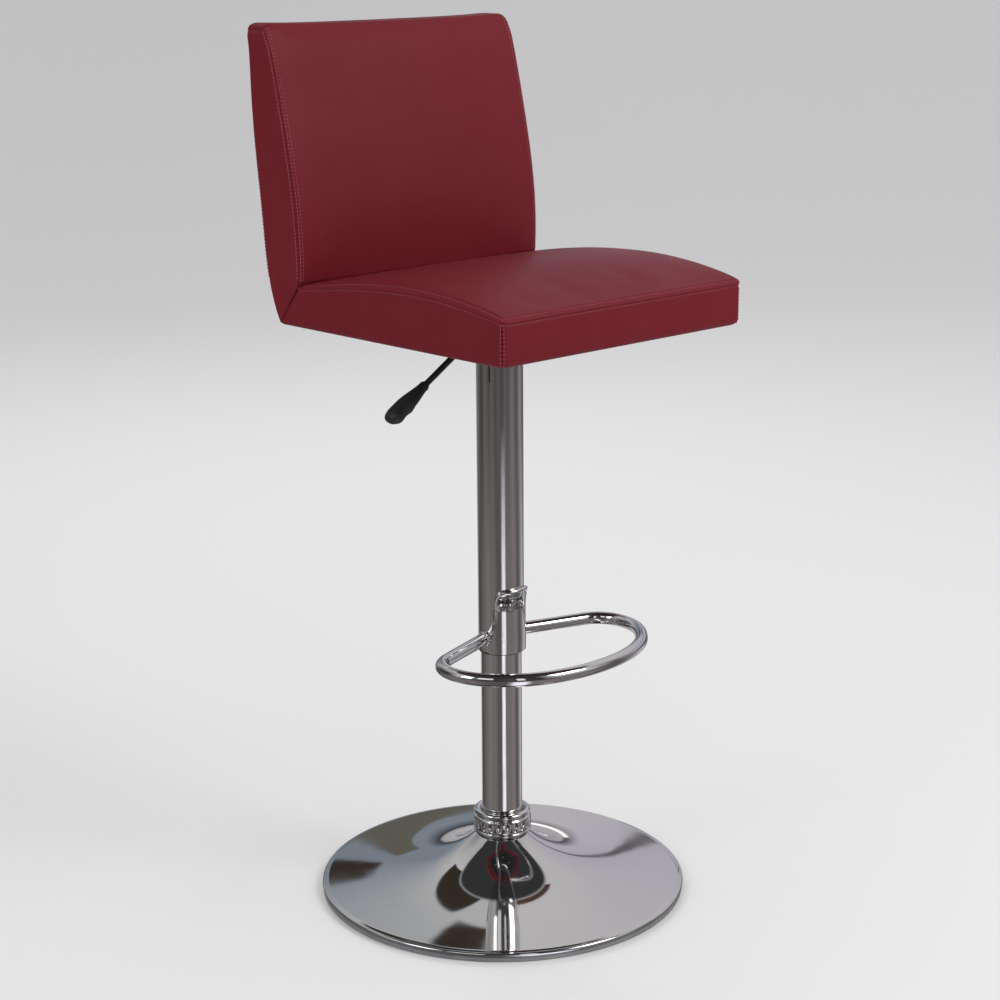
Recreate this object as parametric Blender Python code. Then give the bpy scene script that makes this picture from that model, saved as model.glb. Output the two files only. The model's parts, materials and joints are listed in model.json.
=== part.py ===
"""Adjustable swivel stool with an upholstered seat and back, a gas lift and a footrest.

Units are metres, +Z is up, the column's axis is the Z axis and the sitter faces -Y.
"""

import math

import bmesh
import bpy
from mathutils import Vector

# Running gap left between pieces that touch.
GAP = 0.0003

# Base
BASE_RADIUS = 0.2255
BASE_SEGMENTS = 64
PIPE_SEGMENTS = 48
HIDDEN_SEGMENTS = 24
DISH_THICKNESS = 0.0018
NECK_RADIUS = 0.0305
NECK_TOP = 0.0865
RING_HEIGHT = 0.0058
RING_WIDTH = 0.0126
PLATE_RADIUS = 0.158
PLATE_BOTTOM = 0.0110
PLATE_TOP = 0.0158

# Lower column
COLUMN_RADIUS = 0.0250
COLUMN_WALL = 0.0020
COLUMN_BOTTOM = 0.0035
COLUMN_TOP = 0.452
COLLAR_BOTTOM = 0.0715
COLLAR_HEIGHT = 0.0295
COLLAR_RADIUS = 0.0362
COLLAR_DIMPLES = 22
DIMPLE_DEPTH = 0.0011
BUSH_LENGTH = 0.070
FLOOR_BOTTOM = 0.020
FLOOR_TOP = 0.026

# Gas lift
ROD_RADIUS = 0.0050
CYLINDER_RADIUS = 0.0140
CYLINDER_WALL = 0.0022
CYLINDER_BOTTOM = 0.360
CYLINDER_TOP = 0.690
TAPER_LENGTH = 0.036
TAPER_DROP = 0.0010
VALVE_RADIUS = 0.0028
VALVE_LENGTH = 0.0150

# Upper sleeve and footrest
SLEEVE_RADIUS = 0.0280
SLEEVE_WALL = 0.0012
SLEEVE_BOTTOM = 0.3092
SLEEVE_TOP = 0.690
SADDLE_THICKNESS = 0.0018
SADDLE_HEIGHT = 0.0775
SADDLE_TOP_HALF_ANGLE = math.radians(56.0)
SADDLE_LOW_HALF_ANGLE = math.radians(74.0)
FOOTREST_TUBE = 0.0078
FOOTREST_LEVEL = 0.3265
FOOTREST_HALF_WIDTH = 0.142
FOOTREST_REACH = 0.167

# Seat and back
SEAT_WIDTH = 0.385
SEAT_FRONT = -0.2095
SEAT_REAR = 0.1745
SEAT_BOTTOM = 0.7100
SEAT_FRONT_TOP = 0.7650
SEAT_CROWN = 0.0205
CUSHION_DOME = 0.0070
JOIN_Y = 0.1330
JOIN_Z = 0.7620
BACK_TOP = 1.0570
BACK_TOP_FRONT = 0.1850
BACK_TOP_REAR = 0.2215
# Share of the height and of the lean at points up the back's two faces.
REAR_CURVE = ((0.06, 0.22), (0.13, 0.40), (0.27, 0.55), (0.43, 0.71), (0.60, 0.83), (0.79, 0.92))
FRONT_CURVE = ((0.90, 0.79), (0.75, 0.55), (0.60, 0.35), (0.45, 0.175), (0.30, 0.04), (0.15, -0.02))
BACK_CORNER = 0.013
EDGE_RADIUS = 0.0065
COVER_THICKNESS = 0.0014
HEM_WIDTH = 0.030

# Boards and fixings
BOARD_BOTTOM = 0.7118
BOARD_THICKNESS = 0.0120
BACK_BOARD_THICKNESS = 0.0100
BACK_BOARD_LENGTH = 0.300
BACK_BOARD_LEAN = math.radians(8.0)
BRACKET_THICKNESS = 0.0030
BRACKET_WIDTH = 0.030
BRACKET_SPACING = 0.100
BRACKET_RISE = 0.050
MOUNT_HALF_X = 0.075
MOUNT_HALF_Y = 0.095
MOUNT_TOP = 0.7097
MOUNT_THICKNESS = 0.0035
HUB_RADIUS = 0.0225
HUB_BOTTOM = 0.650
BOLT_X = 0.055
BOLT_Y = 0.072
BOLT_RADIUS = 0.0029

# Lever
PIVOT_X = -0.030
LEVER_LEVEL = 0.6985
LEVER_ROD_RADIUS = 0.0036
LEVER_BEND_X = -0.044
LEVER_SLOPE = 0.62
GRIP_START_X = -0.116
GRIP_END_X = -0.172
PIN_RADIUS = 0.0018

CHROME = ((0.78, 0.77, 0.76), 0.06, 1.0)
STEEL = ((0.55, 0.55, 0.56), 0.32, 1.0)
ZINC = ((0.68, 0.68, 0.66), 0.30, 1.0)
BLACK_PAINT = ((0.018, 0.018, 0.020), 0.38, 0.0)
BLACK_PLASTIC = ((0.012, 0.012, 0.013), 0.42, 0.0)
GREY_RUBBER = ((0.23, 0.23, 0.24), 0.70, 0.0)
WHITE_PLASTIC = ((0.80, 0.80, 0.76), 0.45, 0.0)
BRASS = ((0.72, 0.52, 0.24), 0.30, 1.0)
PLYWOOD = ((0.62, 0.45, 0.28), 0.65, 0.0)
FOAM = ((0.84, 0.78, 0.60), 0.95, 0.0)
BURGUNDY = ((0.155, 0.030, 0.038), 0.42, 0.0)
BLACK_FABRIC = ((0.014, 0.014, 0.015), 0.92, 0.0)


# ---------------------------------------------------------------- helpers


def clear_scene():
    """Remove every object so the part starts from nothing."""
    for item in list(bpy.data.objects):
        bpy.data.objects.remove(item, do_unlink=True)


def make_axis(name, location, parent=None):
    """Add an empty that marks the axis a moving group turns about or slides along."""
    axis = bpy.data.objects.new(name, None)
    bpy.context.collection.objects.link(axis)
    axis.location = location
    axis.parent = parent
    return axis


def finish(item, look):
    """Give a piece its own material."""
    colour, roughness, metallic = look
    material = bpy.data.materials.new(item.name + "_finish")
    material.use_nodes = True
    shader = material.node_tree.nodes["Principled BSDF"]
    shader.inputs["Base Color"].default_value = (*colour, 1.0)
    shader.inputs["Roughness"].default_value = roughness
    shader.inputs["Metallic"].default_value = metallic
    item.data.materials.append(material)


def make_piece(name, points, faces, look=None, axis=None, sharp=35.0):
    """Build one closed mesh object from points in world metres and lists of indices."""
    origin = Vector((0.0, 0.0, 0.0))
    if axis is not None:
        origin = axis_origin(axis)
    mesh = bpy.data.meshes.new(name)
    mesh.from_pydata([Vector(point) - origin for point in points], [], faces)
    shape = bmesh.new()
    shape.from_mesh(mesh)
    bmesh.ops.recalc_face_normals(shape, faces=shape.faces)
    shape.to_mesh(mesh)
    shape.free()
    mesh.shade_smooth()
    mesh.set_sharp_from_angle(angle=math.radians(sharp))
    item = bpy.data.objects.new(name, mesh)
    bpy.context.collection.objects.link(item)
    item.parent = axis
    if look is not None:
        finish(item, look)
    return item


def axis_origin(axis):
    """World position of an axis empty."""
    origin = Vector(axis.location)
    while axis.parent is not None:
        axis = axis.parent
        origin += Vector(axis.location)
    return origin


def lathe(name, profile, look=None, axis=None, segments=PIPE_SEGMENTS, centre=(0.0, 0.0), swell=None):
    """Turn a closed outline of radius and height about a vertical line."""
    points = []
    rings = []
    for radius, height in profile:
        ring = []
        count = 1 if radius < 1e-7 else segments
        for step in range(count):
            angle = 2.0 * math.pi * step / segments
            reach = radius if swell is None else radius + swell(radius, height, angle)
            ring.append(len(points))
            points.append((centre[0] + reach * math.cos(angle), centre[1] + reach * math.sin(angle), height))
        rings.append(ring)
    faces = []
    for index, ring in enumerate(rings):
        other = rings[(index + 1) % len(rings)]
        if len(ring) == 1 and len(other) == 1:
            continue
        for step in range(segments):
            following = (step + 1) % segments
            quad = [ring[step % len(ring)], ring[following % len(ring)]]
            quad += [other[following % len(other)], other[step % len(other)]]
            faces.append(list(dict.fromkeys(quad)))
    return make_piece(name, points, faces, look, axis)


def tube(name, inner, outer, bottom, top, look=None, axis=None, segments=HIDDEN_SEGMENTS, chamfer=0.0):
    """Straight ring or pipe, with a small chamfer on each edge when one is given."""
    if chamfer <= 0.0:
        return lathe(name, [(inner, bottom), (outer, bottom), (outer, top), (inner, top)], look, axis, segments)
    profile = [
        (inner, bottom + chamfer),
        (inner + chamfer, bottom),
        (outer - chamfer, bottom),
        (outer, bottom + chamfer),
        (outer, top - chamfer),
        (outer - chamfer, top),
        (inner + chamfer, top),
        (inner, top - chamfer),
    ]
    return lathe(name, profile, look, axis, segments)


def rod(name, radius, bottom, top, look=None, axis=None, segments=24, centre=(0.0, 0.0), chamfer=0.0003):
    """Solid vertical bar with chamfered ends."""
    profile = [
        (0.0, bottom),
        (radius - chamfer, bottom),
        (radius, bottom + chamfer),
        (radius, top - chamfer),
        (radius - chamfer, top),
        (0.0, top),
    ]
    return lathe(name, profile, look, axis, segments, centre)


def box(name, low, high, look=None, axis=None):
    """Plain block between two corners."""
    points = [(x, y, z) for x in (low[0], high[0]) for y in (low[1], high[1]) for z in (low[2], high[2])]
    faces = [[0, 1, 3, 2], [4, 6, 7, 5], [0, 4, 5, 1], [2, 3, 7, 6], [0, 2, 6, 4], [1, 5, 7, 3]]
    return make_piece(name, points, faces, look, axis)


def rounded_slab(name, half_x, low_y, high_y, bottom, top, radius, look=None, axis=None, steps=6):
    """Flat plate with rounded corners in plan."""
    corners = [(half_x, high_y, 0), (-half_x, high_y, 1), (-half_x, low_y, 2), (half_x, low_y, 3)]
    outline = []
    for x, y, quarter in corners:
        centre_x = x - math.copysign(radius, x)
        centre_y = y - radius if quarter < 2 else y + radius
        for step in range(steps + 1):
            angle = 0.5 * math.pi * (quarter + step / steps)
            outline.append((centre_x + radius * math.cos(angle), centre_y + radius * math.sin(angle)))
    return prism(name, outline, bottom, top, look, axis)


def prism(name, outline, bottom, top, look=None, axis=None):
    """Upright solid with a given plan outline."""
    count = len(outline)
    points = [(x, y, bottom) for x, y in outline] + [(x, y, top) for x, y in outline]
    faces = [list(range(count)), list(range(count, 2 * count))]
    for index in range(count):
        following = (index + 1) % count
        faces.append([index, following, count + following, count + index])
    return make_piece(name, points, faces, look, axis)


def sideways_prism(name, outline, low_x, high_x, look=None, axis=None):
    """Solid with a given outline in Y and Z, running along X."""
    count = len(outline)
    points = [(low_x, y, z) for y, z in outline] + [(high_x, y, z) for y, z in outline]
    faces = [list(range(count)), list(range(count, 2 * count))]
    for index in range(count):
        following = (index + 1) % count
        faces.append([index, following, count + following, count + index])
    return make_piece(name, points, faces, look, axis)


def sweep(name, path, radius, look=None, axis=None, sides=16, squash=None):
    """Round bar along a path of points, closed at both ends."""
    path = [Vector(point) for point in path]
    points = []
    normal = None
    for index, centre in enumerate(path):
        before = path[max(index - 1, 0)]
        after = path[min(index + 1, len(path) - 1)]
        tangent = (after - before).normalized()
        if normal is None:
            helper = Vector((0.0, 0.0, 1.0)) if abs(tangent.z) < 0.9 else Vector((0.0, 1.0, 0.0))
            normal = (helper - tangent * helper.dot(tangent)).normalized()
        else:
            normal = (normal - tangent * normal.dot(tangent)).normalized()
        across = tangent.cross(normal)
        for step in range(sides):
            angle = 2.0 * math.pi * step / sides
            rise, side = (radius, radius) if squash is None else squash(index / (len(path) - 1), angle)
            points.append(centre + normal * rise * math.cos(angle) + across * side * math.sin(angle))
    faces = []
    for index in range(len(path) - 1):
        for step in range(sides):
            following = (step + 1) % sides
            low = index * sides
            high = low + sides
            faces.append([low + step, low + following, high + following, high + step])
    faces.append(list(range(sides)))
    faces.append([(len(path) - 1) * sides + step for step in range(sides)])
    return make_piece(name, points, faces, look, axis)


def add_boolean(item, other, operation):
    """Cut another solid out of a piece, or fuse it on."""
    modifier = item.modifiers.new(operation.title(), "BOOLEAN")
    modifier.operation = operation
    modifier.solver = "EXACT"
    modifier.object = other
    other.hide_render = True
    other.display_type = "WIRE"


def cut(item, *cutters):
    """Remove each cutter from the piece."""
    for cutter in cutters:
        add_boolean(item, cutter, "DIFFERENCE")


def fuse(item, *others):
    """Make each of the others one body with the piece."""
    for other in others:
        add_boolean(item, other, "UNION")


# ---------------------------------------------------------------- base


def dish_outline():
    """Outer surface of the base from the neck down to the rim."""
    shape = [
        (0.0, NECK_TOP),
        (0.0001, 0.0715),
        (0.0030, 0.0685),
        (0.0085, 0.0635),
        (0.0165, 0.0570),
        (0.0275, 0.0496),
        (0.0400, 0.0428),
        (0.0550, 0.0362),
        (0.0720, 0.0304),
        (0.0920, 0.0253),
        (0.1150, 0.0209),
        (0.1400, 0.0174),
        (0.1660, 0.0145),
        (0.1905, 0.0121),
    ]
    scale = (BASE_RADIUS - 0.0045 - NECK_RADIUS) / 0.1905
    return [(NECK_RADIUS + out * scale, height) for out, height in shape]


def build_base_dish():
    """Spun chrome shell with a rolled rim."""
    outer = dish_outline()
    inner = []
    for index in range(0, len(outer), 2):
        radius, height = outer[index]
        before = outer[max(index - 1, 0)]
        after = outer[min(index + 1, len(outer) - 1)]
        run = Vector((after[0] - before[0], after[1] - before[1])).normalized()
        inner.append((radius + run.y * DISH_THICKNESS, height - run.x * DISH_THICKNESS))
    rim = [
        (BASE_RADIUS - 0.0020, 0.0112),
        (BASE_RADIUS - 0.0006, 0.0100),
        (BASE_RADIUS, 0.0085),
        (BASE_RADIUS - 0.0006, 0.0070),
        (BASE_RADIUS - 0.0022, 0.0062),
        (BASE_RADIUS - 0.0046, 0.0074),
    ]
    inner[0] = (NECK_RADIUS - DISH_THICKNESS, NECK_TOP)
    lathe("base_dish", outer + rim + inner[::-1], CHROME, None, BASE_SEGMENTS)


def build_floor_ring():
    """Grey ring under the rim that stands on the floor."""
    outer = BASE_RADIUS - 0.0011
    inner = outer - RING_WIDTH
    profile = [
        (inner, 0.0),
        (outer - 0.0008, 0.0),
        (outer, 0.0010),
        (outer, RING_HEIGHT - 0.0010),
        (outer - 0.0010, RING_HEIGHT),
        (inner, RING_HEIGHT),
    ]
    lathe("floor_ring", profile, GREY_RUBBER, None, BASE_SEGMENTS)


def build_weight_plate():
    """Flat steel disc inside the dish that steadies the stool."""
    tube("weight_plate", COLUMN_RADIUS + GAP, PLATE_RADIUS, PLATE_BOTTOM, PLATE_TOP, BLACK_PAINT, None, PIPE_SEGMENTS)


def build_column_fixing():
    """Washer and large nut that clamp the column to the base from below."""
    tube("column_washer", COLUMN_RADIUS + GAP, 0.0380, 0.0097, PLATE_BOTTOM - GAP, ZINC)
    across = 0.0350
    outline = [(across * math.cos(math.pi * k / 3), across * math.sin(math.pi * k / 3)) for k in range(6)]
    nut = prism("column_nut", outline, 0.0040, 0.0097 - GAP, ZINC)
    bore = rod("column_nut_bore", COLUMN_RADIUS + GAP, 0.0, 0.0200, None, None, 48)
    cut(nut, bore)


def build_lower_column():
    """Chrome pipe that stands on the base."""
    inner = COLUMN_RADIUS - COLUMN_WALL
    tube("lower_column", inner, COLUMN_RADIUS, COLUMN_BOTTOM, COLUMN_TOP, CHROME, None, PIPE_SEGMENTS)
    tube("column_floor", ROD_RADIUS + GAP, inner - GAP, FLOOR_BOTTOM, FLOOR_TOP, STEEL)


def build_collar():
    """Trim collar with a row of shallow dimples and a rounded lip."""
    low = COLLAR_BOTTOM
    bulge = COLLAR_RADIUS
    bore = COLUMN_RADIUS + GAP
    neck = NECK_RADIUS + GAP
    profile = [
        (neck, low + GAP),
        (bulge - 0.0026, low - 0.0012),
        (bulge - 0.0008, low + 0.0008),
        (bulge - 0.0014, low + 0.0044),
        (bulge - 0.0001, low + 0.0070),
        (bulge, low + 0.0120),
        (bulge - 0.0001, low + 0.0165),
        (bulge - 0.0010, low + 0.0206),
        (bulge - 0.0026, low + 0.0222),
        (bulge - 0.0015, low + 0.0250),
        (bulge - 0.0050, low + COLLAR_HEIGHT),
        (bulge - 0.0084, low + COLLAR_HEIGHT - 0.0010),
        (bore, low + COLLAR_HEIGHT - 0.0034),
        (bore, NECK_TOP + GAP),
        (neck, NECK_TOP + GAP),
    ]
    middle = low + 0.0136

    def dimple(radius, height, angle):
        """Depth of the dimple row at a point of the band."""
        if radius < bulge - 0.0012:
            return 0.0
        turn = (angle * COLLAR_DIMPLES / (2.0 * math.pi)) % 1.0 - 0.5
        spread = (turn / 0.33) ** 2 + ((height - middle) / 0.0078) ** 2
        return -DIMPLE_DEPTH * max(0.0, 1.0 - spread)

    lathe("base_collar", profile, CHROME, None, COLLAR_DIMPLES * 4, swell=dimple)


def build_guide_bush():
    """Plastic bush at the head of the column that guides the gas cylinder."""
    outer = COLUMN_RADIUS - COLUMN_WALL - GAP
    bore = CYLINDER_RADIUS + GAP
    seat = COLUMN_TOP + GAP
    profile = [
        (bore, COLUMN_TOP - BUSH_LENGTH),
        (outer, COLUMN_TOP - BUSH_LENGTH),
        (outer, seat),
        (COLUMN_RADIUS, seat),
        (COLUMN_RADIUS, seat + 0.0025),
        (COLUMN_RADIUS - 0.0006, seat + 0.0031),
        (bore, seat + 0.0031),
    ]
    lathe("guide_bush", profile, WHITE_PLASTIC, None, HIDDEN_SEGMENTS)


def build_bearing(rod_axis):
    """Thrust bearing that lets the rod turn on the column's floor."""
    low = FLOOR_TOP + GAP
    tube("bearing_race_lower", ROD_RADIUS + GAP, 0.0140, low, low + 0.0020, STEEL)
    middle = low + 0.0041
    cage = tube("bearing_cage", 0.0078, 0.0122, middle - 0.0007, middle + 0.0007, BRASS)
    for index in range(6):
        angle = 2.0 * math.pi * index / 6.0
        ball = rod_ball("bearing_ball_%d" % index, 0.0100 * math.cos(angle), 0.0100 * math.sin(angle), middle)
        fuse(cage, ball)
    high = middle + 0.0020
    tube("bearing_race_upper", ROD_RADIUS + GAP, 0.0140, high, high + 0.0020, STEEL, rod_axis)
    return high + 0.0020


def rod_ball(name, x, y, z):
    """One bearing ball."""
    radius = 0.0017
    profile = [(radius * math.sin(math.pi * k / 5), z - radius * math.cos(math.pi * k / 5)) for k in range(6)]
    profile[0] = (0.0, z - radius)
    profile[-1] = (0.0, z + radius)
    return lathe(name, profile, None, None, 8, (x, y))


# ---------------------------------------------------------------- gas lift


def build_piston_rod(rod_axis, shoulder):
    """Rod with a shoulder on the bearing, its clip under the floor and the piston at its head."""
    head = CYLINDER_BOTTOM + 0.0115
    profile = [
        (0.0, 0.0150),
        (ROD_RADIUS - 0.0004, 0.0150),
        (ROD_RADIUS, 0.0154),
        (ROD_RADIUS, shoulder + GAP),
        (0.0085, shoulder + GAP),
        (0.0085, shoulder + 0.0055),
        (ROD_RADIUS, shoulder + 0.0065),
        (ROD_RADIUS, head - 0.0004),
        (ROD_RADIUS - 0.0004, head),
        (0.0, head),
    ]
    lathe("piston_rod", profile, STEEL, rod_axis, 24)
    tube("rod_clip", ROD_RADIUS + GAP, 0.0092, 0.0172, FLOOR_BOTTOM - GAP, ZINC, rod_axis, 24)
    inner = CYLINDER_RADIUS - CYLINDER_WALL
    rod("piston_head", inner - GAP, head + GAP, head + 0.0090, BLACK_PLASTIC, rod_axis, HIDDEN_SEGMENTS)


def taper_profile(offset):
    """Outer line of the cylinder's tapered head, moved outward by an offset."""
    start = CYLINDER_TOP - TAPER_LENGTH
    return [(CYLINDER_RADIUS + offset, start), (CYLINDER_RADIUS - TAPER_DROP + offset, CYLINDER_TOP)]


def build_gas_cylinder(lift_axis):
    """Black painted cylinder with a tapered head and a bore for the valve pin."""
    inner = CYLINDER_RADIUS - CYLINDER_WALL
    ceiling = CYLINDER_TOP - 0.018
    valve = VALVE_RADIUS + GAP
    taper = taper_profile(0.0)
    profile = [
        (ROD_RADIUS + GAP, CYLINDER_BOTTOM),
        (CYLINDER_RADIUS - 0.0010, CYLINDER_BOTTOM),
        (CYLINDER_RADIUS, CYLINDER_BOTTOM + 0.0010),
        taper[0],
        taper[1],
        (valve, CYLINDER_TOP),
        (valve, ceiling),
        (inner, ceiling),
        (inner, CYLINDER_BOTTOM + 0.0060),
        (ROD_RADIUS + GAP, CYLINDER_BOTTOM + 0.0060),
    ]
    lathe("gas_cylinder", profile, BLACK_PAINT, lift_axis, HIDDEN_SEGMENTS)


def build_valve_pin(valve_axis):
    """Small pin in the head of the cylinder that the lever presses."""
    top = LEVER_LEVEL - LEVER_ROD_RADIUS - GAP
    rod("valve_pin", VALVE_RADIUS, top - VALVE_LENGTH, top, STEEL, valve_axis, 16)


# ---------------------------------------------------------------- sleeve and footrest


def build_sleeve(lift_axis):
    """Chrome sleeve that rides up and down over the column, with its bushes."""
    inner = SLEEVE_RADIUS - SLEEVE_WALL
    tube("upper_sleeve", inner, SLEEVE_RADIUS, SLEEVE_BOTTOM, SLEEVE_TOP, CHROME, lift_axis, PIPE_SEGMENTS)
    bore = COLUMN_RADIUS + GAP
    profile = [
        (bore, SLEEVE_BOTTOM - 0.0020),
        (SLEEVE_RADIUS - 0.0010, SLEEVE_BOTTOM - 0.0020),
        (SLEEVE_RADIUS - 0.0004, SLEEVE_BOTTOM - 0.0014),
        (SLEEVE_RADIUS - 0.0004, SLEEVE_BOTTOM - GAP),
        (inner - GAP, SLEEVE_BOTTOM - GAP),
        (inner - GAP, SLEEVE_BOTTOM + 0.0180),
        (bore, SLEEVE_BOTTOM + 0.0180),
    ]
    lathe("sleeve_ring", profile, BLACK_PLASTIC, lift_axis, PIPE_SEGMENTS)
    tube("sleeve_top_bush", HUB_RADIUS + GAP, inner - GAP, 0.6560, 0.6720, BLACK_PLASTIC, lift_axis)


def saddle_edge(level):
    """Half angle of the saddle at a height above its foot, from 0 to 1."""
    blend = min(1.0, max(0.0, (level - 0.25) / 0.30))
    blend = blend * blend * (3.0 - 2.0 * blend)
    wide = SADDLE_LOW_HALF_ANGLE * (1.0 - blend) + SADDLE_TOP_HALF_ANGLE * blend
    if level > 0.84:
        corner = (level - 0.84) / 0.16
        wide -= math.radians(17.0) * (1.0 - math.sqrt(max(0.0, 1.0 - corner * corner)))
    return wide


def on_column(radius, angle, height):
    """Point at an angle from the front of the column, positive toward +X."""
    return (radius * math.sin(angle), -radius * math.cos(angle), height)


def build_saddle(lift_axis):
    """Half shell around the front of the sleeve with a rolled lip along its top."""
    inner = SLEEVE_RADIUS + GAP
    outer = inner + SADDLE_THICKNESS
    levels = [0.0, 0.02, 0.25, 0.35, 0.45, 0.55, 0.84, 0.91, 0.97, 1.0]
    across = 16
    points = []
    for radius in (inner, outer):
        for level in levels:
            wide = saddle_edge(level)
            trim = 0.0008 if radius == outer and level == 0.0 else 0.0
            for step in range(across + 1):
                angle = wide * (2.0 * step / across - 1.0)
                height = SLEEVE_BOTTOM + SADDLE_HEIGHT * level
                points.append(on_column(radius - trim, angle, height))
    rows = len(levels)
    width = across + 1
    layer = rows * width
    faces = []
    for row in range(rows - 1):
        for step in range(across):
            low = row * width + step
            faces.append([low, low + 1, low + width + 1, low + width])
            faces.append([layer + low, layer + low + width, layer + low + width + 1, layer + low + 1])
    for step in range(across):
        for row in (0, rows - 1):
            low = row * width + step
            faces.append([low, layer + low, layer + low + 1, low + 1])
    for row in range(rows - 1):
        for column in (0, across):
            low = row * width + column
            faces.append([low, low + width, layer + low + width, layer + low])
    saddle = make_piece("footrest_saddle", points, faces, CHROME, lift_axis)
    path = []
    middle = outer + 0.0001
    for level in (0.72, 0.84, 0.90, 0.95, 0.985):
        path.append(on_column(middle, -saddle_edge(level), SLEEVE_BOTTOM + SADDLE_HEIGHT * level))
    for step in range(1, 14):
        angle = saddle_edge(1.0) * (2.0 * step / 14.0 - 1.0)
        rise = 0.0016 * (1.0 - (2.0 * step / 14.0 - 1.0) ** 2)
        path.append(on_column(middle + 0.0004, angle, SLEEVE_BOTTOM + SADDLE_HEIGHT + rise))
    for level in (0.985, 0.95, 0.90, 0.84, 0.72):
        path.append(on_column(middle, saddle_edge(level), SLEEVE_BOTTOM + SADDLE_HEIGHT * level))
    lip = sweep("saddle_lip", path, 0.0019, None, lift_axis, 8)
    fuse(saddle, lip)


def footrest_path():
    """Centre line of the footrest from the left arm round the front to the right arm."""
    half = FOOTREST_HALF_WIDTH
    reach = FOOTREST_REACH
    right = [
        (0.020, 0.0030),
        (0.060, -0.0105),
        (half * 0.72, -0.0240),
        (half * 0.86, -0.0315),
        (half * 0.945, -0.0420),
        (half * 0.99, -0.0560),
        (half, -0.0715),
        (half * 0.985, -0.0870),
        (half * 0.935, -0.1040),
        (half * 0.845, -0.1210),
        (half * 0.70, -reach * 0.835),
        (half * 0.50, -reach * 0.925),
        (half * 0.26, -reach * 0.982),
        (0.0, -reach),
    ]
    left = [(-x, y) for x, y in right[:-1]]
    return [(x, y, FOOTREST_LEVEL) for x, y in left + right[::-1]]


def smooth_path(path, steps):
    """Catmull-Rom curve through a list of points."""
    path = [Vector(point) for point in path]
    result = []
    for index in range(len(path) - 1):
        first = path[max(index - 1, 0)]
        start = path[index]
        end = path[index + 1]
        last = path[min(index + 2, len(path) - 1)]
        for step in range(steps):
            t = step / steps
            bend = 2.0 * start + (end - first) * t
            bend += (2.0 * first - 5.0 * start + 4.0 * end - last) * t * t
            bend += (3.0 * start - first - 3.0 * end + last) * t * t * t
            result.append(bend * 0.5)
    result.append(path[-1])
    return result


def build_footrest(lift_axis):
    """Bent chrome tube with a weld bead round each arm where it meets the saddle."""
    path = smooth_path(footrest_path(), 2)
    loop = sweep("footrest_loop", path, FOOTREST_TUBE, CHROME, lift_axis, 12)
    for side, name in ((-1.0, "weld_left"), (1.0, "weld_right")):
        start = Vector((side * 0.020, 0.0030, FOOTREST_LEVEL))
        ahead = Vector((side * 0.060, -0.0105, FOOTREST_LEVEL)) - start
        ahead.normalize()
        centre = start + ahead * 0.0125
        bead = sweep(
            name,
            [centre - ahead * 0.0026, centre - ahead * 0.0012, centre + ahead * 0.0012, centre + ahead * 0.0026],
            FOOTREST_TUBE + 0.0016,
            None,
            lift_axis,
            12,
            lambda along, angle: (FOOTREST_TUBE + (0.0020 if 0.2 < along < 0.8 else 0.0004),) * 2,
        )
        fuse(loop, bead)
    cope = SLEEVE_RADIUS + SADDLE_THICKNESS + 2.0 * GAP
    clearance = rod("footrest_clearance", cope, FOOTREST_LEVEL - 0.04, FOOTREST_LEVEL + 0.04, None, lift_axis, 64)
    cut(loop, clearance)


# ---------------------------------------------------------------- seat mounting and lever


def build_mounting_plate(lift_axis):
    """Pressed steel plate with a turned-down edge, a socket for the gas lift and lever lugs."""
    plate = rounded_slab(
        "mounting_plate", MOUNT_HALF_X, -MOUNT_HALF_Y, MOUNT_HALF_Y, 0.6990, MOUNT_TOP, 0.012, BLACK_PAINT, lift_axis
    )
    under = MOUNT_TOP - MOUNT_THICKNESS
    wall = 0.0025
    pocket = rounded_slab(
        "plate_pocket", MOUNT_HALF_X - wall, wall - MOUNT_HALF_Y, MOUNT_HALF_Y - wall, 0.69, under, 0.0095, None, lift_axis
    )
    cut(plate, pocket)
    hub = rod("plate_hub", HUB_RADIUS, HUB_BOTTOM, MOUNT_TOP - 0.0010, None, lift_axis, HIDDEN_SEGMENTS)
    fuse(plate, hub)
    for side in (-1.0, 1.0):
        inner_y = side * (LEVER_ROD_RADIUS + 0.0016)
        outer_y = side * (LEVER_ROD_RADIUS + 0.0046)
        low_y, high_y = min(inner_y, outer_y), max(inner_y, outer_y)
        lug = box(
            "plate_lug_%s" % ("left" if side < 0 else "right"),
            (PIVOT_X - 0.006, low_y, LEVER_LEVEL - 0.0055),
            (PIVOT_X + 0.014, high_y, MOUNT_TOP - 0.0015),
            None,
            lift_axis,
        )
        fuse(plate, lug)
    taper = taper_profile(GAP)
    bore = lathe(
        "plate_bore",
        [
            (0.0, HUB_BOTTOM - 0.01),
            (taper[0][0], HUB_BOTTOM - 0.01),
            taper[0],
            taper[1],
            (taper[1][0], MOUNT_TOP + 0.01),
            (0.0, MOUNT_TOP + 0.01),
        ],
        None,
        lift_axis,
        HIDDEN_SEGMENTS,
    )
    slot = box(
        "plate_slot",
        (-0.040, -LEVER_ROD_RADIUS - 0.0014, CYLINDER_TOP - 0.0030),
        (0.0, LEVER_ROD_RADIUS + 0.0014, under),
        None,
        lift_axis,
    )
    pin_hole = sweep("plate_pin_hole", pin_path(0.014), PIN_RADIUS + GAP, None, lift_axis, 12)
    cut(plate, bore, slot, pin_hole)
    for index, (x, y) in enumerate(bolt_places()):
        hole = rod("plate_bolt_hole_%d" % index, BOLT_RADIUS + GAP, 0.69, 0.72, None, lift_axis, 12, (x, y))
        cut(plate, hole)


def pin_path(half):
    """Line through the lever's pivot along Y."""
    return [(PIVOT_X, -half, LEVER_LEVEL), (PIVOT_X, half, LEVER_LEVEL)]


def bolt_places():
    """Plan positions of the four seat bolts."""
    return [(x, y) for x in (-BOLT_X, BOLT_X) for y in (-BOLT_Y, BOLT_Y)]


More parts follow.
